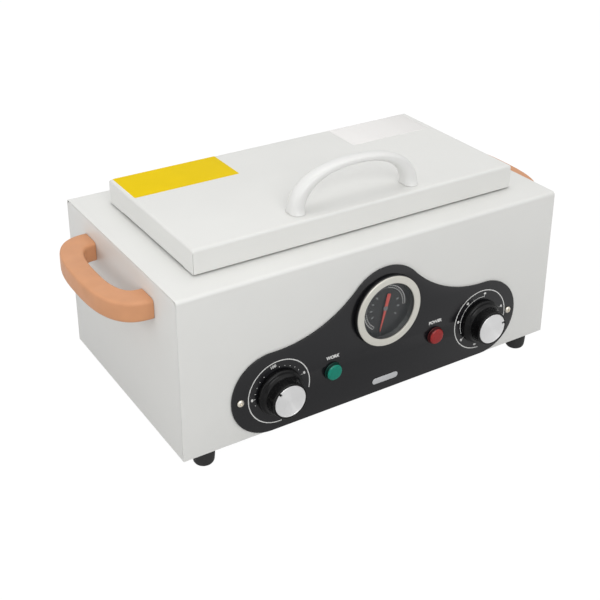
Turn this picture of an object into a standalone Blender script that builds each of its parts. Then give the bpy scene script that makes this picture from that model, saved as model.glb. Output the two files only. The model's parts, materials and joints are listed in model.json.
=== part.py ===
"""A bench-top dry-heat steriliser: a sheet-metal box with a heated steel chamber under a hinged lid.

Metres, +Z up, the front faces -Y. Pieces are placed in the case's own frame, whose origin is the
middle of the case on the table, and one empty moves that frame so that the whole object is centred.
"""

import math

import bmesh
import bpy
from mathutils import Matrix, Vector

# ---- driving dimensions ----------------------------------------------------------------------
CASE_W = 0.360
CASE_D = 0.206
CASE_H = 0.137
FOOT_H = 0.014
SHEET = 0.001
BEND_R = 0.003
GAP = 0.0003
RUNNING = 0.0001

LID_W = 0.305
LID_D = 0.152
LID_H = 0.020
LID_LIFT = 0.0015
LID_OPENING_DEG = 95.0
LID_CORNER_R = 0.0015

TANK_W = 0.276
TANK_D = 0.122
TANK_DEPTH = 0.088
TANK_SHEET = 0.0008
TANK_CORNER_R = 0.012
TANK_FLOOR_R = 0.006
FLANGE = 0.008

SEAL_H = 0.003
SEAL_WIDTH = 0.004

INSULATION = 0.010
CAVITY = 0.0045
ELEMENT_R = 0.00325
ELEMENT_PITCH = 0.028
ELEMENT_PASSES = 4
ELEMENT_LENGTH = 0.216

TRAY_MARGIN = 0.006
TRAY_H = 0.028
TRAY_RIM = 0.004
TRAY_SHEET = 0.0008

HINGE_X = 0.085
HINGE_W = 0.040
HINGE_R = 0.003
HINGE_LEAF = 0.014
HINGE_SHEET = 0.0012
HINGE_PIN_R = 0.0015
HINGE_CENTRE_W = 0.0148

LID_HANDLE_INSET = 0.0168
LID_HANDLE_HALF = 0.0610
LID_HANDLE_HALF_INNER = 0.0480
LID_HANDLE_H = 0.0360
LID_HANDLE_H_INNER = 0.0295
LID_HANDLE_WIDTH = 0.0125
LID_HANDLE_WIDTH_FOOT = 0.0160
LID_HANDLE_FLARE = 0.0030

SIDE_HANDLE_HALF = 0.0655
SIDE_HANDLE_HALF_INNER = 0.0430
SIDE_HANDLE_REACH = 0.0355
SIDE_HANDLE_REACH_INNER = 0.0175
SIDE_HANDLE_H = 0.0170
SIDE_HANDLE_Z = 0.1130

PANEL_X = 0.0031
FASCIA_T = 0.0015
LOBE_SHIFT = -0.0015
LOBE_X = 0.1055
LOBE_Z = 0.0358
LOBE_R = 0.0352
BUMP_X = -0.0003
BUMP_Z = 0.0768
BUMP_R = 0.0385
SHOULDER_R = 0.102
FASCIA_SCREW_X = 0.1332
FASCIA_SCREW_Z = 0.0360
FASCIA_SCREW_R = 0.0028

KNOB_X = 0.1003
KNOB_Z = 0.0348
KNOB_SKIRT_R = 0.0200
KNOB_NOSE_R = 0.0150
KNOB_H = 0.0168
KNOB_CAP_R = 0.0135
KNOB_CAP_T = 0.0008
KNOB_HOLLOW_H = 0.0040
SHAFT_R = 0.0030
SHAFT_TIP = 0.0125
BUSHING_R = 0.0048
NOTCH_W = 0.0018
NOTCH_L = 0.0028
THERMOSTAT_AT_DEG = 135.0
TIMER_AT_DEG = 12.0
SWITCH_W = 0.046
SWITCH_H = 0.040
SWITCH_DEPTH = 0.021

DIAL_Z = 0.0767
COLLAR_WALL = 0.0038
COLLAR_H = 0.0031
BEZEL_SET_IN = 0.0004
BEZEL_LIP = 0.0026
BEZEL_H = 0.0046
CAN_R = 0.0273
CAN_WALL = 0.0015
CAN_DEPTH = 0.018
GLASS_T = 0.0008
DIAL_DEPTH = 0.0025
DIAL_T = 0.0008
NEEDLE_AT_DEG = 256.0
NEEDLE_LENGTH = 0.0200
NEEDLE_TAIL = 0.0130
NEEDLE_TAIL_W = 0.0036
NEEDLE_HUB_W = 0.0026
NEEDLE_TIP_W = 0.0009
NEEDLE_T = 0.0006
NEEDLE_PIN_R = 0.0009

LAMP_X = 0.0511
LAMP_Z = 0.0363
LAMP_R = 0.0074
LAMP_FLANGE_R = 0.0078
LAMP_H = 0.0044
LAMP_STEM_R = 0.0056
LAMP_BODY_DEPTH = 0.020

FOOT_INSET_X = 0.0215
FOOT_INSET_Y = 0.0096
FOOT_TOP_R = 0.0090
FOOT_BASE_R = 0.0075
FOOT_STEM_R = 0.0030
FOOT_STEM_H = 0.0040

INLET_X = 0.120
INLET_Z = 0.034
INLET_FLANGE_W = 0.050
INLET_FLANGE_H = 0.0240
INLET_FLANGE_T = 0.0025
INLET_BODY_W = 0.0300
INLET_BODY_H = 0.0220
INLET_SOCKET_W = 0.0246
INLET_SOCKET_H = 0.0168
INLET_DEPTH = 0.0210
INLET_SOCKET_DEPTH = 0.0160

SCREW_HEAD_R = 0.0040
SCREW_HEAD_H = 0.0020
SCREW_R = 0.0018
SCREW_GRIP = 0.0090

VENT_W = 0.0036
VENT_L = 0.034
VENT_PITCH = 0.010
VENTS = 7
WIRE_R = 0.0012

# ---- places worked out from them --------------------------------------------------------------
BASE_Z = FOOT_H
TOP_Z = BASE_Z + CASE_H
FRONT_Y = -CASE_D / 2 - GAP - FASCIA_T
WALL_BACK = FASCIA_T + GAP + SHEET
FRONT_REACH = -FRONT_Y - CASE_D / 2 + KNOB_H
REAR_REACH = GAP + INLET_FLANGE_T
CASE_SHIFT_Y = (FRONT_REACH - REAR_REACH) / 2
LID_UNDER_Z = TOP_Z + LID_LIFT
LID_TOP_Z = LID_UNDER_Z + LID_H
HINGE_Y = LID_D / 2 + GAP + HINGE_R
HINGE_Z = TOP_Z + GAP + HINGE_R
TANK_RIM_Z = TOP_Z + GAP + TANK_SHEET
TANK_BASE_Z = TANK_RIM_Z - TANK_DEPTH
LINER_Z = TANK_RIM_Z + GAP + SEAL_H + GAP
TRAY_BASE_Z = TANK_BASE_Z + TANK_SHEET + GAP
ELEMENT_Z = TANK_BASE_Z - GAP - ELEMENT_R
CAVITY_FLOOR_Z = ELEMENT_Z - ELEMENT_R - 0.0085
COLLAR_R = CAN_R + COLLAR_WALL
BEZEL_R = COLLAR_R - BEZEL_SET_IN
BEZEL_INNER_R = CAN_R - BEZEL_LIP

STEEL_WHITE = ("painted_sheet", (0.70, 0.70, 0.66), 0.45, 0.0)
STAINLESS = ("stainless", (0.60, 0.60, 0.60), 0.30, 1.0)
ZINC = ("zinc_plate", (0.55, 0.56, 0.58), 0.35, 1.0)
BLACK_PLASTIC = ("black_plastic", (0.02, 0.02, 0.02), 0.45, 0.0)
WHITE_PLASTIC = ("white_plastic", (0.75, 0.75, 0.73), 0.40, 0.0)
TAN_PLASTIC = ("tan_plastic", (0.55, 0.25, 0.11), 0.45, 0.0)
RUBBER = ("black_rubber", (0.02, 0.02, 0.02), 0.80, 0.0)
FASCIA_BLACK = ("fascia_black", (0.04, 0.04, 0.045), 0.50, 0.0)
BEZEL_SILVER = ("bezel_silver", (0.65, 0.64, 0.58), 0.40, 1.0)
SPUN_ALUMINIUM = ("spun_aluminium", (0.75, 0.75, 0.75), 0.30, 1.0)
DIAL_GREY = ("dial_grey", (0.09, 0.09, 0.09), 0.60, 0.0)
NEEDLE_RED = ("needle_red", (0.60, 0.05, 0.04), 0.45, 0.0)
CLEAR_GLASS = ("clear_glass", (0.90, 0.95, 0.95), 0.05, 0.0)
GREEN_LENS = ("green_lens", (0.00, 0.24, 0.14), 0.20, 0.0)
RED_LENS = ("red_lens", (0.50, 0.04, 0.03), 0.20, 0.0)
GLASS_WOOL = ("glass_wool", (0.70, 0.62, 0.40), 0.95, 0.0)
SEAL_GREY = ("silicone_seal", (0.35, 0.35, 0.35), 0.70, 0.0)
COPPER = ("copper_tube", (0.70, 0.35, 0.20), 0.35, 1.0)
BROWN_WIRE = ("brown_wire", (0.20, 0.08, 0.04), 0.60, 0.0)
BLUE_WIRE = ("blue_wire", (0.02, 0.08, 0.40), 0.60, 0.0)


# ---- scene helpers -----------------------------------------------------------------------------
def clear_scene():
    for old in list(bpy.data.objects):
        bpy.data.objects.remove(old)


def new_collection(name):
    collection = bpy.data.collections.new(name)
    bpy.context.scene.collection.children.link(collection)
    return collection


clear_scene()
PARTS = new_collection("dry_heat_steriliser")
CUTTERS = new_collection("cutters")


def new_empty(name, place, parent=None):
    empty = bpy.data.objects.new(name, None)
    empty.location = place
    empty.parent = parent
    PARTS.objects.link(empty)
    return empty


FRAME = new_empty("case_frame", (0, CASE_SHIFT_Y, 0))


def on_front(x, z, out=0.0):
    """A place on the fascia's front face, x from the panel's middle and z from the case's underside."""
    return Vector((PANEL_X + x, FRONT_Y - out, BASE_Z + z))


LID_JOINT = new_empty("lid_joint", (0, HINGE_Y, HINGE_Z), FRAME)
THERMOSTAT_JOINT = new_empty("thermostat_joint", on_front(-KNOB_X, KNOB_Z), FRAME)
TIMER_JOINT = new_empty("timer_joint", on_front(KNOB_X, KNOB_Z), FRAME)
NEEDLE_JOINT = new_empty("needle_joint", on_front(0.0, DIAL_Z), FRAME)

FACING_FRONT = (math.radians(90), 0, 0)
FACING_BACK = (math.radians(-90), 0, 0)
FACING_LEFT = (0, math.radians(-90), 0)
FACING_RIGHT = (0, math.radians(90), 0)


def material(finish):
    name, colour, roughness, metallic = finish
    found = bpy.data.materials.get(name)
    if found:
        return found
    made = bpy.data.materials.new(name)
    made.use_nodes = True
    shader = made.node_tree.nodes["Principled BSDF"]
    shader.inputs["Base Color"].default_value = (*colour, 1)
    shader.inputs["Roughness"].default_value = roughness
    shader.inputs["Metallic"].default_value = metallic
    return made


def place(obj, finish, at=(0, 0, 0), turned_to=(0, 0, 0), joint=None):
    """Puts obj among the parts, at a place in the case's frame, held by a joint's empty or the frame."""
    holder = joint or FRAME
    offset = Vector(holder.location) if joint else Vector()
    obj.parent = holder
    obj.location = Vector(at) - offset
    obj.rotation_euler = turned_to
    obj.data.materials.append(material(finish))
    PARTS.objects.link(obj)
    return obj


def object_of(name, mesh_maker):
    """A new object with the mesh that mesh_maker fills in."""
    mesh = bpy.data.meshes.new(name)
    bm = bmesh.new()
    mesh_maker(bm)
    bmesh.ops.recalc_face_normals(bm, faces=bm.faces)
    bm.to_mesh(mesh)
    bm.free()
    return bpy.data.objects.new(name, mesh)


def box_object(name, size, bevel=0.0):
    def fill(bm):
        bmesh.ops.create_cube(bm, size=1)
        bmesh.ops.scale(bm, vec=size, verts=bm.verts)

    obj = object_of(name, fill)
    if bevel:
        edge = obj.modifiers.new("rounded_edges", "BEVEL")
        edge.width = bevel
        edge.segments = 2
    return obj


def cylinder_object(name, radius, length, sides=24):
    """A cylinder along Z, its middle at the origin."""

    def fill(bm):
        bmesh.ops.create_cone(
            bm, cap_ends=True, segments=sides, radius1=radius, radius2=radius, depth=length
        )

    return object_of(name, fill)


def as_tool(obj, at, turned_to=(0, 0, 0), joint=None):
    """Places obj as a cutter or a piece to join, which isn't a part of its own."""
    holder = joint or FRAME
    obj.parent = holder
    obj.location = Vector(at) - (Vector(holder.location) if joint else Vector())
    obj.rotation_euler = turned_to
    obj.hide_render = True
    obj.display_type = "WIRE"
    CUTTERS.objects.link(obj)
    return obj


def boolean(obj, tool, operation="DIFFERENCE"):
    step = obj.modifiers.new(tool.name, "BOOLEAN")
    step.operation = operation
    step.object = tool
    step.solver = "EXACT"


def cut_box(obj, name, size, at, joint=None):
    boolean(obj, as_tool(box_object(name, size), at, joint=joint))


def cut_round(obj, name, radius, length, at, turned_to=(0, 0, 0), joint=None, sides=24):
    boolean(obj, as_tool(cylinder_object(name, radius, length, sides), at, turned_to, joint))


def join_box(obj, name, size, at, joint=None):
    boolean(obj, as_tool(box_object(name, size), at, joint=joint), "UNION")


def join_round(obj, name, radius, length, at, turned_to=(0, 0, 0), joint=None, sides=24):
    tool = as_tool(cylinder_object(name, radius, length, sides), at, turned_to, joint)
    boolean(obj, tool, "UNION")


def turned_object(name, profile, sides=32, ring=False):
    """A turned shape about Z from (radius, height) points that run down its outer side."""
    mesh = bpy.data.meshes.new(name)
    points = [(r, 0, h) for r, h in profile]
    edges = [(i, i + 1) for i in range(len(points) - 1)]
    if ring:
        edges.append((len(points) - 1, 0))
    mesh.from_pydata(points, edges, [])
    obj = bpy.data.objects.new(name, mesh)
    spin = obj.modifiers.new("turned", "SCREW")
    spin.steps = sides
    spin.render_steps = sides
    spin.use_merge_vertices = True
    spin.merge_threshold = 0.00001
    return obj


def outline_object(name, outlines, thickness):
    """A flat plate in its local XY plane from closed outlines, the first its edge and the rest holes."""
    curve = bpy.data.curves.new(name, "CURVE")
    curve.dimensions = "2D"
    curve.fill_mode = "BOTH"
    curve.extrude = thickness / 2
    for points in outlines:
        spline = curve.splines.new("POLY")
        spline.points.add(len(points) - 1)
        for target, (x, y) in zip(spline.points, points):
            target.co = (x, y, 0, 1)
        spline.use_cyclic_u = True
    return bpy.data.objects.new(name, curve)


def tube_object(name, points, radius, radii=None):
    """A round bar or wire through the points, with closed ends."""
    curve = bpy.data.curves.new(name, "CURVE")
    curve.dimensions = "3D"
    curve.bevel_depth = radius
    curve.bevel_resolution = 2
    curve.use_fill_caps = True
    spline = curve.splines.new("POLY")
    spline.points.add(len(points) - 1)
    for i, point in enumerate(points):
        spline.points[i].co = (*point, 1)
        spline.points[i].radius = radii[i] if radii else 1
    return bpy.data.objects.new(name, curve)


def arc(cx, cy, radius, start_deg, end_deg, steps):
    """Points on an arc from one angle to the other, both ends included."""
    return [
        (
            cx + radius * math.cos(math.radians(start_deg + (end_deg - start_deg) * i / steps)),
            cy + radius * math.sin(math.radians(start_deg + (end_deg - start_deg) * i / steps)),
        )
        for i in range(steps + 1)
    ]


def circle(cx, cy, radius, sides=24):
    return arc(cx, cy, radius, 0, 360 * (sides - 1) / sides, sides - 1)


def rounded_rectangle(half_x, half_y, radius, steps=4):
    points = []
    for corner, (sx, sy) in enumerate(((1, 1), (-1, 1), (-1, -1), (1, -1))):
        points += arc(
            sx * (half_x - radius), sy * (half_y - radius), radius, 90 * corner, 90 * corner + 90, steps
        )
    return points


def pan_object(name, levels, thickness, inward=True):
    """A sheet pan: levels are (half_x, half_y, corner radius, z) from its rim to its closed face."""

    def fill(bm):
        rings = [
            [bm.verts.new((x, y, z)) for x, y in rounded_rectangle(hx, hy, r)]
            for hx, hy, r, z in levels
        ]
        for upper, lower in zip(rings, rings[1:]):
            count = len(upper)
            for i in range(count):
                j = (i + 1) % count
                bm.faces.new((upper[i], lower[i], lower[j], upper[j]))
        bm.faces.new(rings[-1])

    obj = object_of(name, fill)
    sheet = obj.modifiers.new("sheet", "SOLIDIFY")
    sheet.thickness = thickness
    sheet.offset = -1 if inward else 1
    sheet.use_even_offset = True
    return obj


def power_curve(half, height, exponent, turn):
    """A point of an arch from (-half, 0) over (0, height) to (half, 0); turn runs from 0 to pi."""
    c, s = math.cos(turn), math.sin(turn)
    return (
        -math.copysign(abs(c) ** (2 / exponent), c) * half,
        max(s, 0.0) ** (2 / exponent) * height,
    )


def arch_object(name, outer, inner, width, section, rings=20, sides=12):
    """A bridge handle lofted between two arches in its local XZ plane, width across Y.

    outer and inner are (half span, height, exponent), width gives the width at a share of the way
    from foot to crown, and section is the exponent of the bar's rounded section."""

    def fill(bm):
        made = []
        for i in range(rings + 1):
            turn = math.pi * i / rings
            ox, oz = power_curve(*outer, turn)
            ix, iz = power_curve(*inner, turn)
            half_width = width(1 - abs(2 * i / rings - 1)) / 2
            ring = []
            for k in range(sides):
                angle = 2 * math.pi * (k + 0.5) / sides
                c, s = math.cos(angle), math.sin(angle)
                across = math.copysign(abs(c) ** (2 / section), c)
                through = math.copysign(abs(s) ** (2 / section), s)
                x = (ox + ix) / 2 + (ox - ix) / 2 * through
                z = (oz + iz) / 2 + (oz - iz) / 2 * through
                ring.append(bm.verts.new((x, half_width * across, z)))
            made.append(ring)
        for first, second in zip(made, made[1:]):
            for k in range(sides):
                j = (k + 1) % sides
                bm.faces.new((first[k], first[j], second[j], second[k]))
        bm.faces.new(made[0])
        bm.faces.new(made[-1])

    return object_of(name, fill)


# ---- case ----------------------------------------------------------------------------------------
def wrap_outline(inset, steps=4):
    """Half profile of the case in Y and Z as a path from the front's foot over the top to the back's."""
    half, radius = CASE_D / 2 - inset, BEND_R - inset
    top = TOP_Z - inset
    front = [(y, z) for y, z in arc(-half + radius, top - radius, radius, 180, 90, steps)]
    back = [(y, z) for y, z in arc(half - radius, top - radius, radius, 90, 0, steps)]
    return [(-half, BASE_Z)] + front + back + [(half, BASE_Z)]


def make_case_shell():
    def fill(bm):
        path = wrap_outline(0)
        left = [bm.verts.new((-CASE_W / 2, y, z)) for y, z in path]
        right = [bm.verts.new((CASE_W / 2, y, z)) for y, z in path]
        for i in range(len(path) - 1):
            bm.faces.new((left[i], left[i + 1], right[i + 1], right[i]))

    shell = object_of("case_shell", fill)
    for face in shell.data.polygons:
        if face.center.z > TOP_Z - BEND_R / 2 and face.normal.z < 0:
            shell.data.flip_normals()
            break
    sheet = shell.modifiers.new("sheet", "SOLIDIFY")
    sheet.thickness = SHEET
    sheet.offset = -1
    place(shell, STEEL_WHITE)
    mouth = (TANK_W + 2 * GAP + 0.001, TANK_D + 2 * GAP + 0.001, 8 * SHEET)
    cut_box(shell, "chamber_mouth", mouth, (0, 0, TOP_Z - SHEET / 2))
    for name, x, z, radius in front_holes():
        at = on_front(x, z, -WALL_BACK)
        sides = 48 if radius > 0.01 else 24
        cut_round(shell, "case_" + name, radius, 4 * SHEET, at, FACING_FRONT, sides=sides)
    inlet = (INLET_BODY_W + 2 * GAP, 8 * SHEET, INLET_BODY_H + 2 * GAP)
    cut_box(shell, "inlet_cutout", inlet, (INLET_X, CASE_D / 2, BASE_Z + INLET_Z))


def front_holes():
    """(name, x, z, radius) of each hole through the fascia and the front wall."""
    holes = [("dial_hole", 0.0, DIAL_Z, CAN_R + GAP)]
    for side in (-1, 1):
        tag = "left" if side < 0 else "right"
        holes.append((f"knob_hole_{tag}", side * KNOB_X, KNOB_Z, BUSHING_R + GAP))
        holes.append((f"lamp_hole_{tag}", side * LAMP_X, LAMP_Z, LAMP_STEM_R + GAP))
        screw_x = LOBE_SHIFT + side * FASCIA_SCREW_X
        holes.append((f"screw_hole_{tag}", screw_x, FASCIA_SCREW_Z, SCREW_R + GAP))
    return holes


def make_side_panel(side, tag):
    inset = SHEET + GAP
    outline = [(y, z) for y, z in wrap_outline(inset)]
    panel = outline_object(f"side_panel_{tag}", [outline[:]], SHEET)
    at = (side * (CASE_W / 2 - SHEET / 2), 0, 0)
    holes = [circle(y, BASE_Z + SIDE_HANDLE_Z, SCREW_R + GAP, 16) for y in side_handle_feet()]
    for points in holes:
        spline = panel.data.splines.new("POLY")
        spline.points.add(len(points) - 1)
        for target, (x, y) in zip(spline.points, points):
            target.co = (x, y, 0, 1)
        spline.use_cyclic_u = True
    place(panel, STEEL_WHITE, at, (math.radians(90), 0, math.radians(90)))


def make_base_plate():
    size = (CASE_W - 2 * SHEET - 2 * GAP, CASE_D - 2 * SHEET - 2 * GAP, SHEET)
    plate = box_object("base_plate", size)
    place(plate, ZINC, (0, 0, BASE_Z + SHEET / 2))
    for i, (x, y) in enumerate(foot_places()):
        cut_round(plate, f"foot_hole_{i}", FOOT_STEM_R + GAP, 4 * SHEET, (x, y, BASE_Z), sides=16)
    for i in range(VENTS):
        for side in (-1, 1):
            x = side * 0.090 + (i - (VENTS - 1) / 2) * VENT_PITCH
            cut_box(plate, f"vent_{side}_{i}", (VENT_W, VENT_L, 4 * SHEET), (x, 0, BASE_Z))


def foot_places():
    x, y = CASE_W / 2 - FOOT_INSET_X, CASE_D / 2 - FOOT_INSET_Y
    return [(-x, -y), (x, -y), (-x, y), (x, y)]


def make_feet():
    names = ("foot_front_left", "foot_front_right", "foot_back_left", "foot_back_right")
    top, stem = FOOT_H - GAP, FOOT_H + SHEET + FOOT_STEM_H
    profile = [
        (0, stem),
        (FOOT_STEM_R * 0.8, stem),
        (FOOT_STEM_R, stem - 0.001),
        (FOOT_STEM_R, top),
        (FOOT_TOP_R, top),
        (FOOT_BASE_R + 0.0006, 0.0020),
        (FOOT_BASE_R - 0.0006, 0),
        (0, 0),
    ]
    for name, (x, y) in zip(names, foot_places()):
        place(turned_object(name, profile, 24), RUBBER, (x, y, 0))


# ---- chamber -------------------------------------------------------------------------------------
def floor_levels(half_x, half_y, corner, base, radius, steps=3):
    """The rings of a pan's rounded foot, down to its flat floor."""
    levels = []
    for i in range(steps + 1):
        angle = math.radians(90 * i / steps)
        inset = radius * (1 - math.cos(angle))
        z = base + radius * (1 - math.sin(angle))
        levels.append((half_x - inset, half_y - inset, max(corner - inset, 0.0005), z))
    return levels


def make_tank():
    half_x, half_y = TANK_W / 2, TANK_D / 2
    levels = [(half_x + FLANGE, half_y + FLANGE, TANK_CORNER_R + FLANGE, TANK_RIM_Z)]
    levels.append((half_x, half_y, TANK_CORNER_R, TANK_RIM_Z))
    inner_x, inner_y = half_x - TANK_SHEET, half_y - TANK_SHEET
    levels[-1] = (inner_x, inner_y, TANK_CORNER_R, TANK_RIM_Z)
    floor = TANK_BASE_Z + TANK_SHEET
    levels += floor_levels(inner_x, inner_y, TANK_CORNER_R, floor, TANK_FLOOR_R)
    tank = pan_object("chamber_tank", levels, TANK_SHEET, inward=True)
    face_up(tank)
    place(tank, STAINLESS)


def face_up(pan):
    """Makes a pan's sheet normals point into its hollow, so that the sheet grows outwards."""
    floor = min(pan.data.polygons, key=lambda face: face.center.z)
    if floor.normal.z < 0:
        pan.data.flip_normals()


def insulation_size():
    half_x = TANK_W / 2 + CAVITY + INSULATION
    half_y = TANK_D / 2 + CAVITY + INSULATION
    return half_x, half_y


def make_insulation():
    half_x, half_y = insulation_size()
    low, high = BASE_Z + SHEET + GAP, TOP_Z - SHEET - GAP
    block = box_object("chamber_insulation", (2 * half_x, 2 * half_y, high - low))
    place(block, GLASS_WOOL, (0, 0, (low + high) / 2))
    hollow = (TANK_W + 2 * CAVITY, TANK_D + 2 * CAVITY, high - CAVITY_FLOOR_Z + SHEET)
    cut_box(block, "insulation_hollow", hollow, (0, 0, CAVITY_FLOOR_Z + hollow[2] / 2))
    for i, y in enumerate((element_y(0), element_y(ELEMENT_PASSES - 1))):
        at = (half_x, y, ELEMENT_Z)
        cut_round(block, f"element_hole_{i}", ELEMENT_R + GAP, 4 * INSULATION, at, FACING_RIGHT, sides=16)
    for name, x, z in (
        ("thermostat", PANEL_X - KNOB_X, BULB_Z),
        ("thermometer", PANEL_X, DIAL_BULB_Z),
    ):
        at = (x, -half_y, z)
        hole = f"{name}_capillary_hole"
        cut_round(block, hole, CAPILLARY_R + 2 * GAP, 4 * INSULATION, at, FACING_FRONT, sides=12)


def element_y(i):
    return (i - (ELEMENT_PASSES - 1) / 2) * ELEMENT_PITCH


def make_element():
    end_x = insulation_size()[0] + 0.008
    half = ELEMENT_LENGTH / 2
    points = [(end_x, element_y(0)), (half + 0.01, element_y(0))]
    for i in range(ELEMENT_PASSES - 1):
        middle = (element_y(i) + element_y(i + 1)) / 2
        if i % 2 == 0:
            points += arc(-half, middle, ELEMENT_PITCH / 2, 270, 90, 6)
        else:
            points += arc(half - ELEMENT_PITCH / 2, middle, ELEMENT_PITCH / 2, -90, 90, 6)
    points.append((half + 0.01, element_y(ELEMENT_PASSES - 1)))
    points.append((end_x, element_y(ELEMENT_PASSES - 1)))
    place(tube_object("heating_element", [(x, y, ELEMENT_Z) for x, y in points], ELEMENT_R), STAINLESS)


def make_element_clamp(side, tag):
    """A bar under the element's passes, with two posts up to the tank's floor."""
    x = side * ELEMENT_LENGTH / 4
    bar_z = ELEMENT_Z - ELEMENT_R - GAP - HINGE_SHEET / 2
    clamp = box_object(f"element_clamp_{tag}", (0.012, 3 * ELEMENT_PITCH + 0.014, HINGE_SHEET))
    place(clamp, ZINC, (x, 0, bar_z))
    height = TANK_BASE_Z - GAP - bar_z
    for i in (0, 2):
        y = (element_y(i) + element_y(i + 1)) / 2
        join_round(clamp, f"clamp_post_{tag}_{i}", 0.003, height, (x, y, bar_z + height / 2), sides=12)


def make_tray():
    half_x = TANK_W / 2 - TANK_SHEET - TRAY_MARGIN
    half_y = TANK_D / 2 - TANK_SHEET - TRAY_MARGIN
    corner = TANK_CORNER_R - TRAY_MARGIN / 2
    rim = TRAY_BASE_Z + TRAY_H
    levels = [(half_x + TRAY_RIM, half_y + TRAY_RIM, corner + TRAY_RIM, rim), (half_x, half_y, corner, rim)]
    levels += floor_levels(half_x, half_y, corner, TRAY_BASE_Z + TRAY_SHEET, 0.004, 2)
    tray = pan_object("instrument_tray", levels, TRAY_SHEET)
    face_up(tray)
    place(tray, STAINLESS)
    for i in range(12):
        for side in (-1, 1):
            x = (i - 5.5) * 0.020
            cut_box(tray, f"tray_slot_{side}_{i}", (0.0036, 0.030, 0.006), (x, side * 0.024, TRAY_BASE_Z))


# ---- lid -------------------------------------------------------------------------------------------
def make_lid_shell():
    half_x, half_y = LID_W / 2, LID_D / 2
    levels = [(half_x, half_y, LID_CORNER_R, LID_UNDER_Z)]
    radius = 0.002
    for i in range(4):
        angle = math.radians(90 * i / 3)
        inset = radius * (1 - math.cos(angle))
        z = LID_TOP_Z - radius * (1 - math.sin(angle))
        levels.append((half_x - inset, half_y - inset, max(LID_CORNER_R - inset, 0.0003), z))
    lid = pan_object("lid_shell", levels, SHEET)
    roof = max(lid.data.polygons, key=lambda face: face.center.z)
    if roof.normal.z < 0:
        lid.data.flip_normals()
    place(lid, STEEL_WHITE, LID_JOINT.location, joint=LID_JOINT)
    lid.data.transform(Matrix.Translation(-Vector(LID_JOINT.location)))
    for i, x in enumerate(lid_handle_feet()):
        at = (x, LID_HANDLE_Y, LID_TOP_Z)
        cut_round(lid, f"lid_screw_hole_{i}", SCREW_R + GAP, 6 * SHEET, at, joint=LID_JOINT, sides=16)


LID_HANDLE_Y = -LID_D / 2 + LID_HANDLE_INSET


def lid_handle_feet():
    x = (LID_HANDLE_HALF + LID_HANDLE_HALF_INNER) / 2
    return (-x, x)


def liner_halves():
    return LID_W / 2 - SHEET - 0.003, LID_D / 2 - SHEET - 0.003


def make_lid_liner():
    half_x, half_y = liner_halves()
    top = LID_TOP_Z - SHEET - GAP
    levels = [(half_x, half_y, 0.003, top)]
    levels += floor_levels(half_x, half_y, 0.003, LINER_Z + TANK_SHEET, 0.002, 2)
    liner = pan_object("lid_liner", levels, TANK_SHEET)
    face_up(liner)
    place(liner, STAINLESS, LID_JOINT.location, joint=LID_JOINT)
    liner.data.transform(Matrix.Translation(-Vector(LID_JOINT.location)))


def make_lid_insulation():
    half_x, half_y = liner_halves()
    low, high = LINER_Z + TANK_SHEET + GAP, LID_TOP_Z - SHEET - GAP
    size = (2 * half_x - 0.008, 2 * half_y - 0.008, high - low)
    block = box_object("lid_insulation", size)
    place(block, GLASS_WOOL, (0, 0, (low + high) / 2), joint=LID_JOINT)
    for i, x in enumerate(lid_handle_feet()):
        at = (x, LID_HANDLE_Y, high)
        depth = 2 * (SCREW_HEAD_H + 2 * GAP)
        name = f"lid_screw_pocket_{i}"
        cut_round(block, name, SCREW_HEAD_R + GAP, depth, at, joint=LID_JOINT, sides=16)


def make_lid_seal():
    half_x, half_y = TANK_W / 2 + FLANGE / 2, TANK_D / 2 + FLANGE / 2
    corner = TANK_CORNER_R + FLANGE / 2
    half = SEAL_WIDTH / 2
    outlines = [
        rounded_rectangle(half_x + half, half_y + half, corner + half),
        rounded_rectangle(half_x - half, half_y - half, corner - half),
    ]
    seal = outline_object("lid_seal", outlines, SEAL_H)
    place(seal, SEAL_GREY, (0, 0, TANK_RIM_Z + GAP + SEAL_H / 2), joint=LID_JOINT)


def lid_handle_width(share):
    """The bar's width at a share of the way from foot to crown, flared at its foot."""
    flare = max(0.0, 1 - share / 0.10) ** 2 * LID_HANDLE_FLARE
    return LID_HANDLE_WIDTH + (LID_HANDLE_WIDTH_FOOT - LID_HANDLE_WIDTH) * (1 - share) ** 2 + flare


def make_lid_handle():
    outer = (LID_HANDLE_HALF, LID_HANDLE_H, 2.3)
    inner = (LID_HANDLE_HALF_INNER, LID_HANDLE_H_INNER, 2.2)
    handle = arch_object("lid_handle", outer, inner, lid_handle_width, 2.4)
    place(handle, WHITE_PLASTIC, (0, LID_HANDLE_Y, LID_TOP_Z + GAP), joint=LID_JOINT)
    for i, x in enumerate(lid_handle_feet()):
        tag = ("left", "right")[i]
        depth = SCREW_GRIP + 2 * GAP
        at = (x, LID_HANDLE_Y, LID_TOP_Z + GAP + depth / 2 - 0.001)
        name = f"lid_handle_hole_{tag}"
        cut_round(handle, name, SCREW_R + GAP, depth + 0.002, at, joint=LID_JOINT, sides=16)
        screw = screw_object(f"lid_handle_screw_{tag}", SHEET + 2 * GAP + SCREW_GRIP)
        at = (x, LID_HANDLE_Y, LID_TOP_Z - SHEET - GAP)
        place(screw, ZINC, at, (math.radians(180), 0, 0), joint=LID_JOINT)


def screw_object(name, length, radius=SCREW_HEAD_R, head=SCREW_HEAD_H):
    """A pan-head screw along Z: its head stands up from the origin and its shank runs down."""
    profile = [
        (0, head),
        (radius * 0.55, head * 0.95),
        (radius * 0.9, head * 0.6),
        (radius, 0),
        (SCREW_R, 0),
        (SCREW_R, -length + 0.001),
        (SCREW_R * 0.6, -length),
        (0, -length),
    ]
    return turned_object(name, profile, 16)


# ---- hinges ----------------------------------------------------------------------------------------
def side_knuckle():
    """(middle, width) of the lid leaf's outer knuckles from the hinge's middle."""
    width = (HINGE_W - HINGE_CENTRE_W) / 2 - GAP
    return HINGE_CENTRE_W / 2 + GAP + width / 2, width


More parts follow.
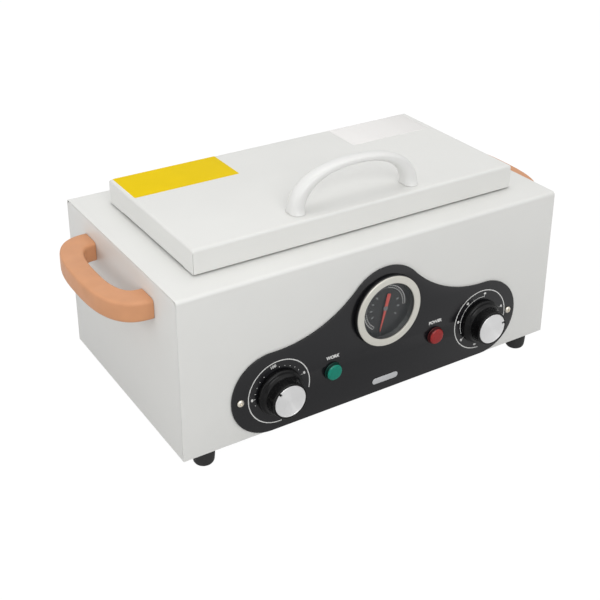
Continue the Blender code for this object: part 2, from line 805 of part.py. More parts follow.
def make_hinge(x, tag):
    """A butt hinge: a leaf on the case's top with the middle knuckle, and a leaf on the lid's back."""
    centre = Vector((x, HINGE_Y, HINGE_Z))
    middle, width = side_knuckle()
    reach = HINGE_R + 0.0006
    bore = HINGE_PIN_R + RUNNING

    name = f"hinge_case_leaf_{tag}"
    leaf = box_object(name, (HINGE_W, HINGE_LEAF + HINGE_R, HINGE_SHEET))
    drop = Vector((0, (HINGE_LEAF + HINGE_R) / 2, -HINGE_R + HINGE_SHEET / 2))
    place(leaf, ZINC, centre + drop)
    for side in (-1, 1):
        size = (width + 4 * GAP, 2 * reach, 4 * HINGE_R)
        at = centre + Vector((side * (middle + GAP), 0, 0))
        cut_box(leaf, f"{name}_notch_{side}", size, at)
    join_round(leaf, f"{name}_knuckle", HINGE_R, HINGE_CENTRE_W, centre, FACING_RIGHT, sides=20)
    cut_round(leaf, f"{name}_bore", bore, 2 * HINGE_W, centre, FACING_RIGHT, sides=20)

    name = f"hinge_lid_leaf_{tag}"
    leaf = box_object(name, (HINGE_W, HINGE_SHEET, HINGE_LEAF))
    rise = Vector((0, -HINGE_R + HINGE_SHEET / 2, HINGE_LEAF / 2))
    place(leaf, ZINC, centre + rise, joint=LID_JOINT)
    size = (HINGE_CENTRE_W + 2 * GAP, 4 * HINGE_R, 2 * reach)
    cut_box(leaf, f"{name}_notch", size, centre, joint=LID_JOINT)
    for side in (-1, 1):
        at = centre + Vector((side * middle, 0, 0))
        knuckle = f"{name}_knuckle_{side}"
        join_round(leaf, knuckle, HINGE_R, width, at, FACING_RIGHT, LID_JOINT, sides=20)
    cut_round(leaf, f"{name}_bore", bore, 2 * HINGE_W, centre, FACING_RIGHT, LID_JOINT, sides=20)

    half, head = HINGE_W / 2 + GAP, HINGE_R * 0.75
    profile = [
        (0, half + 0.001),
        (head * 0.7, half + 0.001),
        (head, half + 0.0004),
        (head, half),
        (HINGE_PIN_R, half),
        (HINGE_PIN_R, -half),
        (head, -half),
        (head, -half - 0.0004),
        (head * 0.7, -half - 0.001),
        (0, -half - 0.001),
    ]
    place(turned_object(f"hinge_pin_{tag}", profile, 20), ZINC, centre, FACING_RIGHT)


# ---- side handles -----------------------------------------------------------------------------------
def side_handle_feet():
    y = (SIDE_HANDLE_HALF + SIDE_HANDLE_HALF_INNER) / 2
    return (-y, y)


def make_side_handle(side, tag):
    outer = (SIDE_HANDLE_HALF, SIDE_HANDLE_REACH, 2.7)
    inner = (SIDE_HANDLE_HALF_INNER, SIDE_HANDLE_REACH_INNER, 2.8)
    handle = arch_object(f"side_handle_{tag}", outer, inner, lambda share: SIDE_HANDLE_H, 6.0)
    root = side * (CASE_W / 2 + GAP)
    at = Vector((root, 0, BASE_Z + SIDE_HANDLE_Z))
    handle.data.transform(Matrix(((0, 0, side, 0), (1, 0, 0, 0), (0, side, 0, 0), (0, 0, 0, 1))))
    place(handle, TAN_PLASTIC, at)
    facing = FACING_LEFT if side > 0 else FACING_RIGHT
    for i, y in enumerate(side_handle_feet()):
        end = ("front", "back")[i]
        depth = SCREW_GRIP + 2 * GAP
        at = (root + side * (depth / 2 - 0.001), y, BASE_Z + SIDE_HANDLE_Z)
        name = f"side_handle_hole_{tag}_{end}"
        cut_round(handle, name, SCREW_R + GAP, depth + 0.002, at, FACING_RIGHT, sides=16)
        screw = screw_object(f"side_handle_screw_{tag}_{end}", SHEET + 2 * GAP + SCREW_GRIP)
        at = (side * (CASE_W / 2 - SHEET - GAP), y, BASE_Z + SIDE_HANDLE_Z)
        place(screw, ZINC, at, facing)


# ---- front controls -----------------------------------------------------------------------------------
def fascia_outline():
    """The fascia's edge: two round lobes joined under a round bump by two hollow shoulders."""
    shoulder_z = LOBE_Z + LOBE_R + SHOULDER_R
    drop = shoulder_z - BUMP_Z
    shoulder_x = math.sqrt((SHOULDER_R + BUMP_R) ** 2 - drop**2)
    meet = math.degrees(math.atan2(-drop, shoulder_x))
    left_shoulder = arc(BUMP_X - shoulder_x, shoulder_z, SHOULDER_R, -90, meet, 8)
    bump = arc(BUMP_X, BUMP_Z, BUMP_R, 180 + meet, -meet, 14)
    right_shoulder = [(2 * BUMP_X - x, z) for x, z in reversed(left_shoulder)]
    left_lobe = arc(LOBE_SHIFT - LOBE_X, LOBE_Z, LOBE_R, 270, 90, 16)
    right_lobe = arc(LOBE_SHIFT + LOBE_X, LOBE_Z, LOBE_R, 90, -90, 16)
    return left_lobe + left_shoulder + bump[1:-1] + right_shoulder + right_lobe


def make_fascia():
    outlines = [fascia_outline()]
    for _, x, z, radius in front_holes():
        outlines.append(circle(x, z, radius, 48 if radius > 0.01 else 20))
    fascia = outline_object("control_fascia", outlines, FASCIA_T)
    place(fascia, FASCIA_BLACK, on_front(0, 0, -FASCIA_T / 2), FACING_FRONT)
    for side, tag in ((-1, "left"), (1, "right")):
        screw = screw_object(f"fascia_screw_{tag}", 0.008, FASCIA_SCREW_R, 0.0019)
        at = on_front(LOBE_SHIFT + side * FASCIA_SCREW_X, FASCIA_SCREW_Z, GAP)
        place(screw, ZINC, at, FACING_FRONT)


def make_knob_set(name, x, at_deg, joint):
    """A rotary control: its body behind the front wall, and the shaft, knob and cap that turn."""
    front = -WALL_BACK - GAP
    bore = SHAFT_R + RUNNING
    bore_depth = 0.012
    bushing_top = KNOB_HOLLOW_H - 0.001
    body = box_object(f"{name}_body", (SWITCH_W, SWITCH_DEPTH, SWITCH_H), 0.0015)
    place(body, BLACK_PLASTIC, on_front(x, KNOB_Z, front - SWITCH_DEPTH / 2))
    length = bushing_top - front + 0.002
    at = on_front(x, KNOB_Z, bushing_top - length / 2)
    join_round(body, f"{name}_bushing", BUSHING_R, length, at, FACING_FRONT)
    length = bushing_top + bore_depth + 0.001
    at = on_front(x, KNOB_Z, bushing_top + 0.001 - length / 2)
    cut_round(body, f"{name}_bore", bore, length, at, FACING_FRONT)

    tip, foot = SHAFT_TIP, -bore_depth + GAP
    profile = [(0, tip), (SHAFT_R - 0.0005, tip), (SHAFT_R, tip - 0.0005), (SHAFT_R, foot), (0, foot)]
    shaft = turned_object(f"{name}_shaft", profile, 24)
    place(shaft, ZINC, on_front(x, KNOB_Z), FACING_FRONT, joint)

    pocket = KNOB_H - KNOB_CAP_T - GAP
    hub = SHAFT_R + GAP
    profile = [
        (0, pocket),
        (KNOB_CAP_R + GAP, pocket),
        (KNOB_CAP_R + GAP, KNOB_H - GAP),
        (KNOB_NOSE_R - 0.0004, KNOB_H - GAP),
        (KNOB_NOSE_R, KNOB_H - 0.0010),
        (KNOB_SKIRT_R - 0.0026, 0.0052),
        (KNOB_SKIRT_R - 0.0016, 0.0040),
        (KNOB_SKIRT_R - 0.0003, 0.0034),
        (KNOB_SKIRT_R, 0.0027),
        (KNOB_SKIRT_R, 0.0006),
        (BUSHING_R + 2 * GAP, 0.0006),
        (BUSHING_R + 2 * GAP, KNOB_HOLLOW_H),
        (hub, KNOB_HOLLOW_H),
        (hub, SHAFT_TIP + GAP),
        (0, SHAFT_TIP + GAP),
    ]
    knob = turned_object(f"{name}_knob", profile, 32)
    place(knob, BLACK_PLASTIC, on_front(x, KNOB_Z), FACING_FRONT, joint)

    top = KNOB_H
    profile = [(0, top), (KNOB_CAP_R - 0.0002, top), (KNOB_CAP_R, top - 0.0002)]
    profile += [(KNOB_CAP_R, top - KNOB_CAP_T), (0, top - KNOB_CAP_T)]
    cap = turned_object(f"{name}_knob_cap", profile, 32)
    place(cap, SPUN_ALUMINIUM, on_front(x, KNOB_Z), FACING_FRONT, joint)
    angle = math.radians(at_deg)
    reach = KNOB_CAP_R - NOTCH_L / 2 + 0.0008
    notch = as_tool(
        box_object(f"{name}_notch", (NOTCH_L + 0.0016, 4 * KNOB_CAP_T, NOTCH_W)),
        on_front(x + reach * math.cos(angle), KNOB_Z + reach * math.sin(angle), KNOB_H),
        (0, -angle, 0),
        joint,
    )
    boolean(cap, notch)


def make_lamp(name, x, finish):
    stem = 0.008
    profile = [
        (0, LAMP_H),
        (LAMP_R * 0.62, LAMP_H - 0.0001),
        (LAMP_R * 0.86, LAMP_H - 0.0005),
        (LAMP_R - 0.0002, LAMP_H - 0.0014),
        (LAMP_R, LAMP_H - 0.0022),
        (LAMP_R, 0.0012),
        (LAMP_FLANGE_R - 0.0002, 0.0012),
        (LAMP_FLANGE_R, 0.0009),
        (LAMP_FLANGE_R, GAP),
        (LAMP_STEM_R, GAP),
        (LAMP_STEM_R, -stem),
        (0, -stem),
    ]
    place(turned_object(f"{name}_lens", profile, 28), finish, on_front(x, LAMP_Z), FACING_FRONT)
    front, bore = -WALL_BACK - GAP, LAMP_STEM_R + GAP
    back = front - LAMP_BODY_DEPTH
    profile = [(0, -stem - GAP), (bore, -stem - GAP), (bore, front), (LAMP_FLANGE_R, front)]
    profile += [(LAMP_FLANGE_R, back + 0.001), (LAMP_FLANGE_R - 0.001, back), (0, back)]
    place(turned_object(f"{name}_body", profile, 20), BLACK_PLASTIC, on_front(x, LAMP_Z), FACING_FRONT)


# ---- thermometer -----------------------------------------------------------------------------------------
CAN_FRONT = 0.0020
BOSS_R = 0.004
BOSS_TOP = -0.006


def make_thermometer():
    at = on_front(0.0, DIAL_Z)
    bore = NEEDLE_PIN_R + RUNNING
    inner = CAN_R - CAN_WALL
    floor = -CAN_DEPTH + CAN_WALL
    profile = [
        (CAN_R + 2 * GAP, CAN_FRONT),
        (CAN_R + 2 * GAP, COLLAR_H),
        (COLLAR_R - 0.0004, COLLAR_H),
        (COLLAR_R, COLLAR_H - 0.0004),
        (COLLAR_R, GAP),
        (CAN_R, GAP),
        (CAN_R, -CAN_DEPTH),
        (bore, -CAN_DEPTH),
        (bore, BOSS_TOP),
        (BOSS_R, BOSS_TOP),
        (BOSS_R, floor),
        (inner, floor),
        (inner, CAN_FRONT),
    ]
    place(turned_object("thermometer_can", profile, 32, ring=True), BLACK_PLASTIC, at, FACING_FRONT)

    seat = COLLAR_H + GAP
    profile = [
        (BEZEL_INNER_R + 0.0003, BEZEL_H),
        (BEZEL_R - 0.0005, BEZEL_H),
        (BEZEL_R, BEZEL_H - 0.0005),
        (BEZEL_R, seat),
        (BEZEL_INNER_R, seat),
        (BEZEL_INNER_R, BEZEL_H - 0.0003),
    ]
    place(turned_object("thermometer_bezel", profile, 40, ring=True), BEZEL_SILVER, at, FACING_FRONT)

    top, radius = CAN_FRONT + GAP + GLASS_T, CAN_R + GAP
    profile = [(0, top), (radius, top), (radius, top - GLASS_T), (0, top - GLASS_T)]
    place(turned_object("thermometer_glass", profile, 32), CLEAR_GLASS, at, FACING_FRONT)

    radius, hole = inner - GAP, NEEDLE_PIN_R + GAP
    top, foot = -DIAL_DEPTH, -DIAL_DEPTH - DIAL_T
    profile = [(radius, top), (radius, foot), (hole, foot), (hole, top)]
    place(turned_object("thermometer_dial", profile, 32, ring=True), DIAL_GREY, at, FACING_FRONT)
    make_needle(at)


def make_needle(at):
    """The pointer with its broad tail, on a hub whose pin runs in the can's boss."""
    angle = math.radians(NEEDLE_AT_DEG)
    along, across = Vector((math.cos(angle), math.sin(angle))), Vector((-math.sin(angle), math.cos(angle)))
    stations = [(NEEDLE_LENGTH, NEEDLE_TIP_W), (0, NEEDLE_HUB_W), (-NEEDLE_TAIL, NEEDLE_TAIL_W)]
    edge = [along * s + across * w / 2 for s, w in stations]
    edge += [along * s - across * w / 2 for s, w in reversed(stations)]
    height = -DIAL_DEPTH + 0.0011

    def fill(bm):
        face = bm.faces.new([bm.verts.new((p.x, p.y, height - NEEDLE_T / 2)) for p in edge])
        grown = bmesh.ops.extrude_face_region(bm, geom=[face])["geom"]
        raised = [v for v in grown if isinstance(v, bmesh.types.BMVert)]
        bmesh.ops.translate(bm, vec=(0, 0, NEEDLE_T), verts=raised)

    needle = object_of("thermometer_needle", fill)
    place(needle, NEEDLE_RED, at, FACING_FRONT, NEEDLE_JOINT)
    foot = -CAN_DEPTH + 0.003
    hub_top = height + 0.0008
    length = hub_top - (-DIAL_DEPTH + GAP)
    middle = on_front(0.0, DIAL_Z, hub_top - length / 2)
    join_round(needle, "needle_hub", 0.0022, length, middle, FACING_FRONT, NEEDLE_JOINT, sides=16)
    length = height - foot
    middle = on_front(0.0, DIAL_Z, height - length / 2)
    join_round(needle, "needle_pin", NEEDLE_PIN_R, length, middle, FACING_FRONT, NEEDLE_JOINT, sides=16)


# ---- power and wiring -------------------------------------------------------------------------------------
CAPILLARY_R = 0.0010
BULB_R = 0.0018
BULB_Z = TANK_BASE_Z + 0.020
DIAL_BULB_Z = TANK_BASE_Z + 0.042


def make_inlet():
    """An appliance inlet set in the back wall, and the block behind it that carries its blades."""
    at = Vector((INLET_X, CASE_D / 2 + GAP + INLET_FLANGE_T / 2, BASE_Z + INLET_Z))
    inlet = box_object("power_inlet", (INLET_FLANGE_W, INLET_FLANGE_T, INLET_FLANGE_H), 0.0008)
    place(inlet, BLACK_PLASTIC, at)
    outer_y = CASE_D / 2 + GAP + INLET_FLANGE_T
    body = (INLET_BODY_W, INLET_DEPTH, INLET_BODY_H)
    middle = outer_y - 0.001 - INLET_DEPTH / 2
    join_box(inlet, "inlet_body", body, (INLET_X, middle, BASE_Z + INLET_Z))
    socket = (INLET_SOCKET_W, 2 * INLET_DEPTH + 0.02, INLET_SOCKET_H)
    cut_box(inlet, "inlet_socket", socket, (INLET_X, middle, BASE_Z + INLET_Z))
    for side in (-1, 1):
        hole = (INLET_X + side * 0.020, outer_y, BASE_Z + INLET_Z)
        cut_round(inlet, f"inlet_screw_hole_{side}", 0.0017, 0.02, hole, FACING_BACK, sides=16)

    back = outer_y - 0.001 - INLET_DEPTH
    depth = INLET_DEPTH - INLET_SOCKET_DEPTH + 0.001
    block = box_object("inlet_contacts", (INLET_SOCKET_W - 2 * GAP, depth, INLET_SOCKET_H - 2 * GAP))
    place(block, BRASS_CARRIER, (INLET_X, back + depth / 2, BASE_Z + INLET_Z))
    blade = 0.012
    for i, (x, z) in enumerate(INLET_BLADES):
        at = (INLET_X + x, back + depth + blade / 2 - 0.001, BASE_Z + INLET_Z + z)
        join_box(block, f"inlet_blade_{i}", (0.002, blade + 0.002, 0.004), at)
        at = (INLET_X + x, back - 0.0015, BASE_Z + INLET_Z + z)
        join_box(block, f"inlet_tag_{i}", (0.0008, 0.005, 0.004), at)


BRASS_CARRIER = ("contact_carrier", (0.45, 0.42, 0.35), 0.40, 0.6)
INLET_BLADES = ((-0.007, -0.002), (0.0, 0.002), (0.007, -0.002))


def smooth_route(points, steps=4):
    """A Catmull-Rom curve through the points."""
    path = [Vector(p) for p in points]
    path = [2 * path[0] - path[1]] + path + [2 * path[-1] - path[-2]]
    made = []
    for p0, p1, p2, p3 in zip(path, path[1:], path[2:], path[3:]):
        for k in range(steps):
            t = k / steps
            made.append(
                0.5
                * (
                    2 * p1
                    + (p2 - p0) * t
                    + (2 * p0 - 5 * p1 + 4 * p2 - p3) * t * t
                    + (3 * p1 - p0 - 3 * p2 + p3) * t**3
                )
            )
    made.append(path[-2])
    return made


def make_capillary(name, x, start_z, bulb_z):
    """A thin filled tube from a control's back to its bulb, which lies along the tank's front wall."""
    half_y = insulation_size()[1]
    behind = -CASE_D / 2 + SHEET + GAP
    deep = SWITCH_DEPTH if name == "thermostat" else CAN_DEPTH - WALL_BACK
    start = Vector((x, behind + deep + GAP, start_z))
    bulb_y = -TANK_D / 2 - CAVITY / 2
    points = [
        start + Vector((0, CAPILLARY_R, 0)),
        start + Vector((0, CAPILLARY_R, math.copysign(0.003, bulb_z - start_z))),
        Vector((x, -half_y - 0.0016, (start_z + bulb_z) / 2)),
        Vector((x, -half_y - 0.0014, bulb_z)),
        Vector((x, -half_y + INSULATION / 2, bulb_z)),
        Vector((x, bulb_y - 0.0008, bulb_z)),
        Vector((x + 0.004, bulb_y, bulb_z)),
        Vector((x + 0.008, bulb_y, bulb_z)),
        Vector((x + 0.010, bulb_y, bulb_z)),
        Vector((x + 0.068, bulb_y, bulb_z)),
    ]
    big = BULB_R / CAPILLARY_R
    radii = [1] * 8 + [big, big]
    place(tube_object(f"{name}_capillary", points, CAPILLARY_R, radii), COPPER)


def make_wires():
    half_x, half_y = insulation_size()
    near, far = half_x + 0.006, half_x + 0.014
    end_x = half_x + 0.008 + GAP + WIRE_R
    tag_y = CASE_D / 2 + GAP + INLET_FLANGE_T - 0.001 - INLET_DEPTH - 0.004 - GAP - WIRE_R
    inlet_z = BASE_Z + INLET_Z - 0.002
    low = BASE_Z + SHEET + GAP + WIRE_R + 0.004
    behind = FRONT_Y + WALL_BACK + GAP + SWITCH_DEPTH
    beside = SWITCH_W / 2 + GAP + WIRE_R + 0.0003
    thermostat_x, timer_x = PANEL_X - KNOB_X + beside, PANEL_X + KNOB_X + beside
    live = [
        (INLET_X + 0.006, tag_y, inlet_z - 0.0022),
        (INLET_X + 0.009, tag_y, inlet_z - 0.0040),
        (INLET_X + 0.011, tag_y - 0.0015, inlet_z - 0.0060),
        (INLET_X + 0.014, half_y + 0.004, low + 0.008),
        (near, half_y + 0.003, low + 0.004),
        (far - 0.002, half_y - 0.012, low + 0.002),
        (far, 0, low),
        (far - 0.002, 0.012 - half_y, low),
        (near, -half_y - 0.006, low),
        (timer_x + 0.010, behind - 0.006, BASE_Z + KNOB_Z - 0.010),
        (timer_x + 0.0015, behind - 0.007, BASE_Z + KNOB_Z),
        (timer_x, behind - 0.010, BASE_Z + KNOB_Z),
    ]
    neutral = [
        (INLET_X - 0.007, tag_y, inlet_z + 0.004),
        (INLET_X + 0.002, half_y + 0.0035, inlet_z + 0.016),
        (near, half_y + 0.003, inlet_z + 0.014),
        (far - 0.002, half_y - 0.010, inlet_z + 0.008),
        (end_x, element_y(ELEMENT_PASSES - 1) + 0.010, ELEMENT_Z + 0.003),
        (end_x, element_y(ELEMENT_PASSES - 1), ELEMENT_Z),
    ]
    element = [
        (thermostat_x, behind - 0.009, BASE_Z + KNOB_Z - 0.008),
        (thermostat_x + 0.0015, behind - 0.006, BASE_Z + KNOB_Z - 0.009),
        (thermostat_x + 0.010, behind - 0.003, low + 0.006),
        (0, behind - 0.002, low),
        (KNOB_X, -half_y - 0.0035, low),
        (near, -half_y - 0.003, low + 0.014),
        (far - 0.003, 0.010 - half_y, low + 0.022),
        (end_x, element_y(0) - 0.010, ELEMENT_Z - 0.003),
        (end_x, element_y(0), ELEMENT_Z),
    ]
    place(tube_object("wire_live", smooth_route(live), WIRE_R), BROWN_WIRE)
    place(tube_object("wire_neutral", smooth_route(neutral), WIRE_R), BLUE_WIRE)
    place(tube_object("wire_element", smooth_route(element), WIRE_R), BROWN_WIRE)


# ---- the object ---------------------------------------------------------------------------------------------
def shade_round_pieces():
    for obj in PARTS.objects:
        if obj.type == "MESH":
            obj.data.shade_smooth()
            obj.data.set_sharp_from_angle(angle=math.radians(35))


def main():
    make_case_shell()
    for side, tag in ((-1, "left"), (1, "right")):
        make_side_panel(side, tag)
        make_side_handle(side, tag)
        make_element_clamp(side, tag)
        make_hinge(side * HINGE_X, tag)
    make_base_plate()
    make_feet()
    make_tank()
    make_insulation()
    make_element()
    make_tray()
    make_lid_shell()
    make_lid_liner()
    make_lid_insulation()
    make_lid_seal()
    make_lid_handle()
    make_fascia()
    make_knob_set("thermostat", -KNOB_X, THERMOSTAT_AT_DEG, THERMOSTAT_JOINT)
    make_knob_set("timer", KNOB_X, TIMER_AT_DEG, TIMER_JOINT)
    make_lamp("work_lamp", -LAMP_X, GREEN_LENS)
    make_lamp("power_lamp", LAMP_X, RED_LENS)
    make_thermometer()
    make_inlet()
    make_capillary("thermostat", PANEL_X - KNOB_X, BASE_Z + KNOB_Z + 0.012, BULB_Z)
    make_capillary("thermometer", PANEL_X, BASE_Z + DIAL_Z, DIAL_BULB_Z)
    make_wires()
    shade_round_pieces()


main()
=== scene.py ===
"""Looks for the bench-top dry-heat steriliser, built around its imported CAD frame.

Metres, +Z up, the front faces -Y. Positions come from the CAD nodes' boxes.
"""

import json
import math

import bmesh
import bpy
from mathutils import Matrix, Vector


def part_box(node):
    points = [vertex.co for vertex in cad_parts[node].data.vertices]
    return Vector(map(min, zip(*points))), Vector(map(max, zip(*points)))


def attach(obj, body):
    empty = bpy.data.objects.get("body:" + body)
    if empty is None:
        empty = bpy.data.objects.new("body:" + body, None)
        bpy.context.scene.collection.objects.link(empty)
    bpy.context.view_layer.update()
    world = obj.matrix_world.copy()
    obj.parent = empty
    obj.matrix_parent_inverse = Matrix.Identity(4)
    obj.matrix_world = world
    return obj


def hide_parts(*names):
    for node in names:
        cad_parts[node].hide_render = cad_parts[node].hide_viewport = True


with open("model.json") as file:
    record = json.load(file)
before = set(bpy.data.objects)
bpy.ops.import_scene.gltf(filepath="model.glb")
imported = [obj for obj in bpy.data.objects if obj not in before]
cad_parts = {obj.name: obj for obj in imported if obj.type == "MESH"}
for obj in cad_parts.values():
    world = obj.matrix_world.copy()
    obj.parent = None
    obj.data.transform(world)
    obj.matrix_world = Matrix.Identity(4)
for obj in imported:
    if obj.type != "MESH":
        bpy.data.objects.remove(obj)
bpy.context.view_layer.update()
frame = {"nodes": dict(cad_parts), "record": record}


# ---- places from the CAD -------------------------------------------------------------------------
def middle(node):
    low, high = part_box(node)
    return (low + high) / 2


CASE_LOW, CASE_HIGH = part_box("case_shell")
LID_LOW, LID_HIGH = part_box("lid_shell")
CASE_Y = (CASE_LOW.y + CASE_HIGH.y) / 2
HALF_W, HALF_D = CASE_HIGH.x, CASE_HIGH.y - CASE_Y
TOP_Z, BASE_Z = CASE_HIGH.z, CASE_LOW.z
PANEL_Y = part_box("control_fascia")[0].y
FACING_FRONT = Matrix.Rotation(math.radians(90), 4, "X")
CAN_HOLE_R = 0.0276
SHAFT_HOLE_R = 0.0052
LAMP_HOLE_R = 0.0059
PANEL_HOLES = [
    ("thermostat_shaft", SHAFT_HOLE_R),
    ("timer_shaft", SHAFT_HOLE_R),
    ("work_lamp_lens", LAMP_HOLE_R),
    ("power_lamp_lens", LAMP_HOLE_R),
]


def on_panel(x, z, out=0.0):
    """A frame on the fascia: its x runs right, its y up and its z out towards the viewer."""
    return Matrix.Translation((x, PANEL_Y - out, z)) @ FACING_FRONT


def at_node(node, out=0.0):
    """The same frame, in line with a node's middle."""
    centre = middle(node)
    return on_panel(centre.x, centre.z, out)


# ---- materials -----------------------------------------------------------------------------------
def linear(value):
    """A linear value from an sRGB one of 0 to 255."""
    value /= 255
    return value / 12.92 if value <= 0.04045 else ((value + 0.055) / 1.055) ** 2.4


def colour(r, g, b):
    return (linear(r), linear(g), linear(b), 1)


class Look:
    """A Principled material with its noise textures in object coordinates, in metres."""

    SPREAD = 0.2  # most of a noise lies this near its middle value of 0.5

    def __init__(self, name, rgb, rough, **sockets):
        self.material = bpy.data.materials.new(name)
        self.material.use_nodes = True
        self.nodes = self.material.node_tree.nodes
        self.links = self.material.node_tree.links
        self.shader = self.nodes["Principled BSDF"]
        self.rgb = rgb
        self.shader.inputs["Base Color"].default_value = colour(*rgb)
        self.shader.inputs["Roughness"].default_value = rough
        for key, value in sockets.items():
            self.shader.inputs[key.replace("_", " ")].default_value = value
        self.place = self.nodes.new("ShaderNodeTexCoord").outputs["Object"]
        self.height = None

    def stretched(self, stretch):
        mapping = self.nodes.new("ShaderNodeMapping")
        mapping.inputs["Scale"].default_value = stretch
        self.links.new(self.place, mapping.inputs["Vector"])
        return mapping.outputs["Vector"]

    def noise(self, scale, detail=2.0, stretch=(1, 1, 1)):
        node = self.nodes.new("ShaderNodeTexNoise")
        node.inputs["Scale"].default_value = scale
        node.inputs["Detail"].default_value = detail
        self.links.new(self.stretched(stretch), node.inputs["Vector"])
        return node.outputs["Fac"]

    def ranged(self, value, low, high):
        """Spreads a noise over low to high, not clamped, because a clamp draws lines in a reflection."""
        node = self.nodes.new("ShaderNodeMapRange")
        node.clamp = False
        node.inputs["From Min"].default_value = 0.5 - self.SPREAD
        node.inputs["From Max"].default_value = 0.5 + self.SPREAD
        node.inputs["To Min"].default_value = low
        node.inputs["To Max"].default_value = high
        self.links.new(value, node.inputs["Value"])
        return node.outputs["Result"]

    def mottle(self, scale, amount, stretch=(1, 1, 1), detail=3.0):
        """Varies the base colour's brightness by plus or minus amount."""
        ramp = self.nodes.new("ShaderNodeValToRGB")
        for end, sign in zip(ramp.color_ramp.elements, (-1, 1)):
            shade = [min(255, c * (1 + sign * amount)) for c in self.rgb]
            end.color = colour(*shade)
            end.position = 0.5 + sign * self.SPREAD
        self.links.new(self.noise(scale, detail, stretch), ramp.inputs["Fac"])
        self.links.new(ramp.outputs["Color"], self.shader.inputs["Base Color"])
        return self

    def vary_rough(self, scale, low, high, stretch=(1, 1, 1)):
        value = self.ranged(self.noise(scale, 2.0, stretch), low, high)
        self.links.new(value, self.shader.inputs["Roughness"])
        return self

    def bump(self, scale, depth, strength=1.0, stretch=(1, 1, 1), detail=2.0):
        return self.bump_by(self.noise(scale, detail, stretch), depth, strength)

    def bump_by(self, value, depth, strength=1.0):
        """Adds a bump of this depth in metres to the ones before it."""
        node = self.nodes.new("ShaderNodeBump")
        node.inputs["Distance"].default_value = depth
        node.inputs["Strength"].default_value = strength
        self.links.new(value, node.inputs["Height"])
        if self.height:
            self.links.new(self.height, node.inputs["Normal"])
        self.height = node.outputs["Normal"]
        self.links.new(self.height, self.shader.inputs["Normal"])
        return self

    def rings(self, pitch, depth, strength=1.0):
        """Turned grooves round the object's own z axis."""
        radius = self.nodes.new("ShaderNodeVectorMath")
        radius.operation = "LENGTH"
        self.links.new(self.stretched((1, 1, 0)), radius.inputs[0])
        times = self.nodes.new("ShaderNodeMath")
        times.operation = "MULTIPLY"
        times.inputs[1].default_value = 2 * math.pi / pitch
        self.links.new(radius.outputs["Value"], times.inputs[0])
        wave = self.nodes.new("ShaderNodeMath")
        wave.operation = "SINE"
        self.links.new(times.outputs["Value"], wave.inputs[0])
        return self.bump_by(wave.outputs["Value"], depth, strength)

    def spun(self, amount, rotation=0.0):
        """Stretches the highlight as turned metal does; a rotation of 0.25 stretches it along the radius."""
        tangent = self.nodes.new("ShaderNodeTangent")
        tangent.direction_type = "RADIAL"
        tangent.axis = "Z"
        self.links.new(tangent.outputs["Tangent"], self.shader.inputs["Tangent"])
        self.shader.inputs["Anisotropic"].default_value = amount
        self.shader.inputs["Anisotropic Rotation"].default_value = rotation
        return self


PAINT = Look("powder_coat", (224, 224, 221), 0.42, Specular_IOR_Level=0.45)
PAINT.mottle(14, 0.006).vary_rough(30, 0.36, 0.46).bump(1500, 0.00004, 0.35)
WHITE = Look("white_plastic", (226, 226, 224), 0.34).mottle(25, 0.004).bump(900, 0.00003, 0.2)
TAN = Look("tan_plastic", (208, 150, 110), 0.48, Specular_IOR_Level=0.3)
TAN.mottle(60, 0.02).vary_rough(90, 0.40, 0.52).bump(1300, 0.00004, 0.35)
FASCIA = Look("fascia_black", (20, 20, 23), 0.2, Specular_IOR_Level=0.45)
FASCIA.mottle(40, 0.02).bump(2600, 0.00003, 0.5)
KNOB = Look("knob_black", (10, 10, 11), 0.24, Specular_IOR_Level=0.22)
KNOB.mottle(70, 0.05).vary_rough(160, 0.20, 0.30).bump(1800, 0.00002, 0.3)
BLACK = Look("black_plastic", (22, 22, 23), 0.5).mottle(80, 0.05).bump(1500, 0.00004, 0.5)
RUBBER = Look("rubber", (34, 34, 34), 0.62).mottle(120, 0.06).bump(1600, 0.00005, 0.6)
CAP = Look("spun_aluminium", (240, 240, 240), 0.30, Metallic=0.6)
CAP.spun(0.9, 0.25).rings(0.00045, 0.000012, 0.5)
BEZEL = Look("turned_bezel", (216, 214, 205), 0.42, Metallic=0.3).rings(0.0011, 0.00005, 0.5)
STEEL = Look("stainless", (205, 205, 203), 0.30, Metallic=1.0)
STEEL.mottle(220, 0.02, (1, 30, 30)).bump(240, 0.00003, 0.35, (1, 24, 24)).vary_rough(12, 0.27, 0.33)
ZINC = Look("zinc_plate", (190, 192, 196), 0.34, Metallic=1.0)
ZINC.mottle(300, 0.05).vary_rough(200, 0.28, 0.44).bump(700, 0.00003, 0.3)
NICKEL = Look("nickel_screw", (236, 230, 216), 0.32, Metallic=0.6)
NICKEL.mottle(500, 0.04).bump(900, 0.00002, 0.3)
WOOL = Look("glass_wool", (226, 214, 176), 0.95).mottle(400, 0.08).bump(900, 0.0004, 1.0, (1, 3, 1), 6)
SEAL = Look("silicone_seal", (150, 150, 150), 0.6).mottle(90, 0.03).bump(900, 0.00005, 0.5)
COPPER = Look("copper_tube", (200, 128, 92), 0.3, Metallic=1.0).mottle(200, 0.06).bump(700, 0.00003, 0.4)
BROWN = Look("brown_wire", (96, 54, 34), 0.45).mottle(200, 0.05).bump(1200, 0.00004, 0.4)
BLUE = Look("blue_wire", (30, 70, 160), 0.45).mottle(200, 0.05).bump(1200, 0.00004, 0.4)
BRASS = Look("contact_brass", (206, 178, 118), 0.3, Metallic=1.0)
BRASS.mottle(300, 0.05).bump(900, 0.00002, 0.4)
GREEN = Look("green_lens", (6, 128, 108), 0.24, Specular_IOR_Level=0.3).mottle(700, 0.08)
RED = Look("red_lens", (150, 40, 40), 0.24, Specular_IOR_Level=0.3).mottle(700, 0.08)
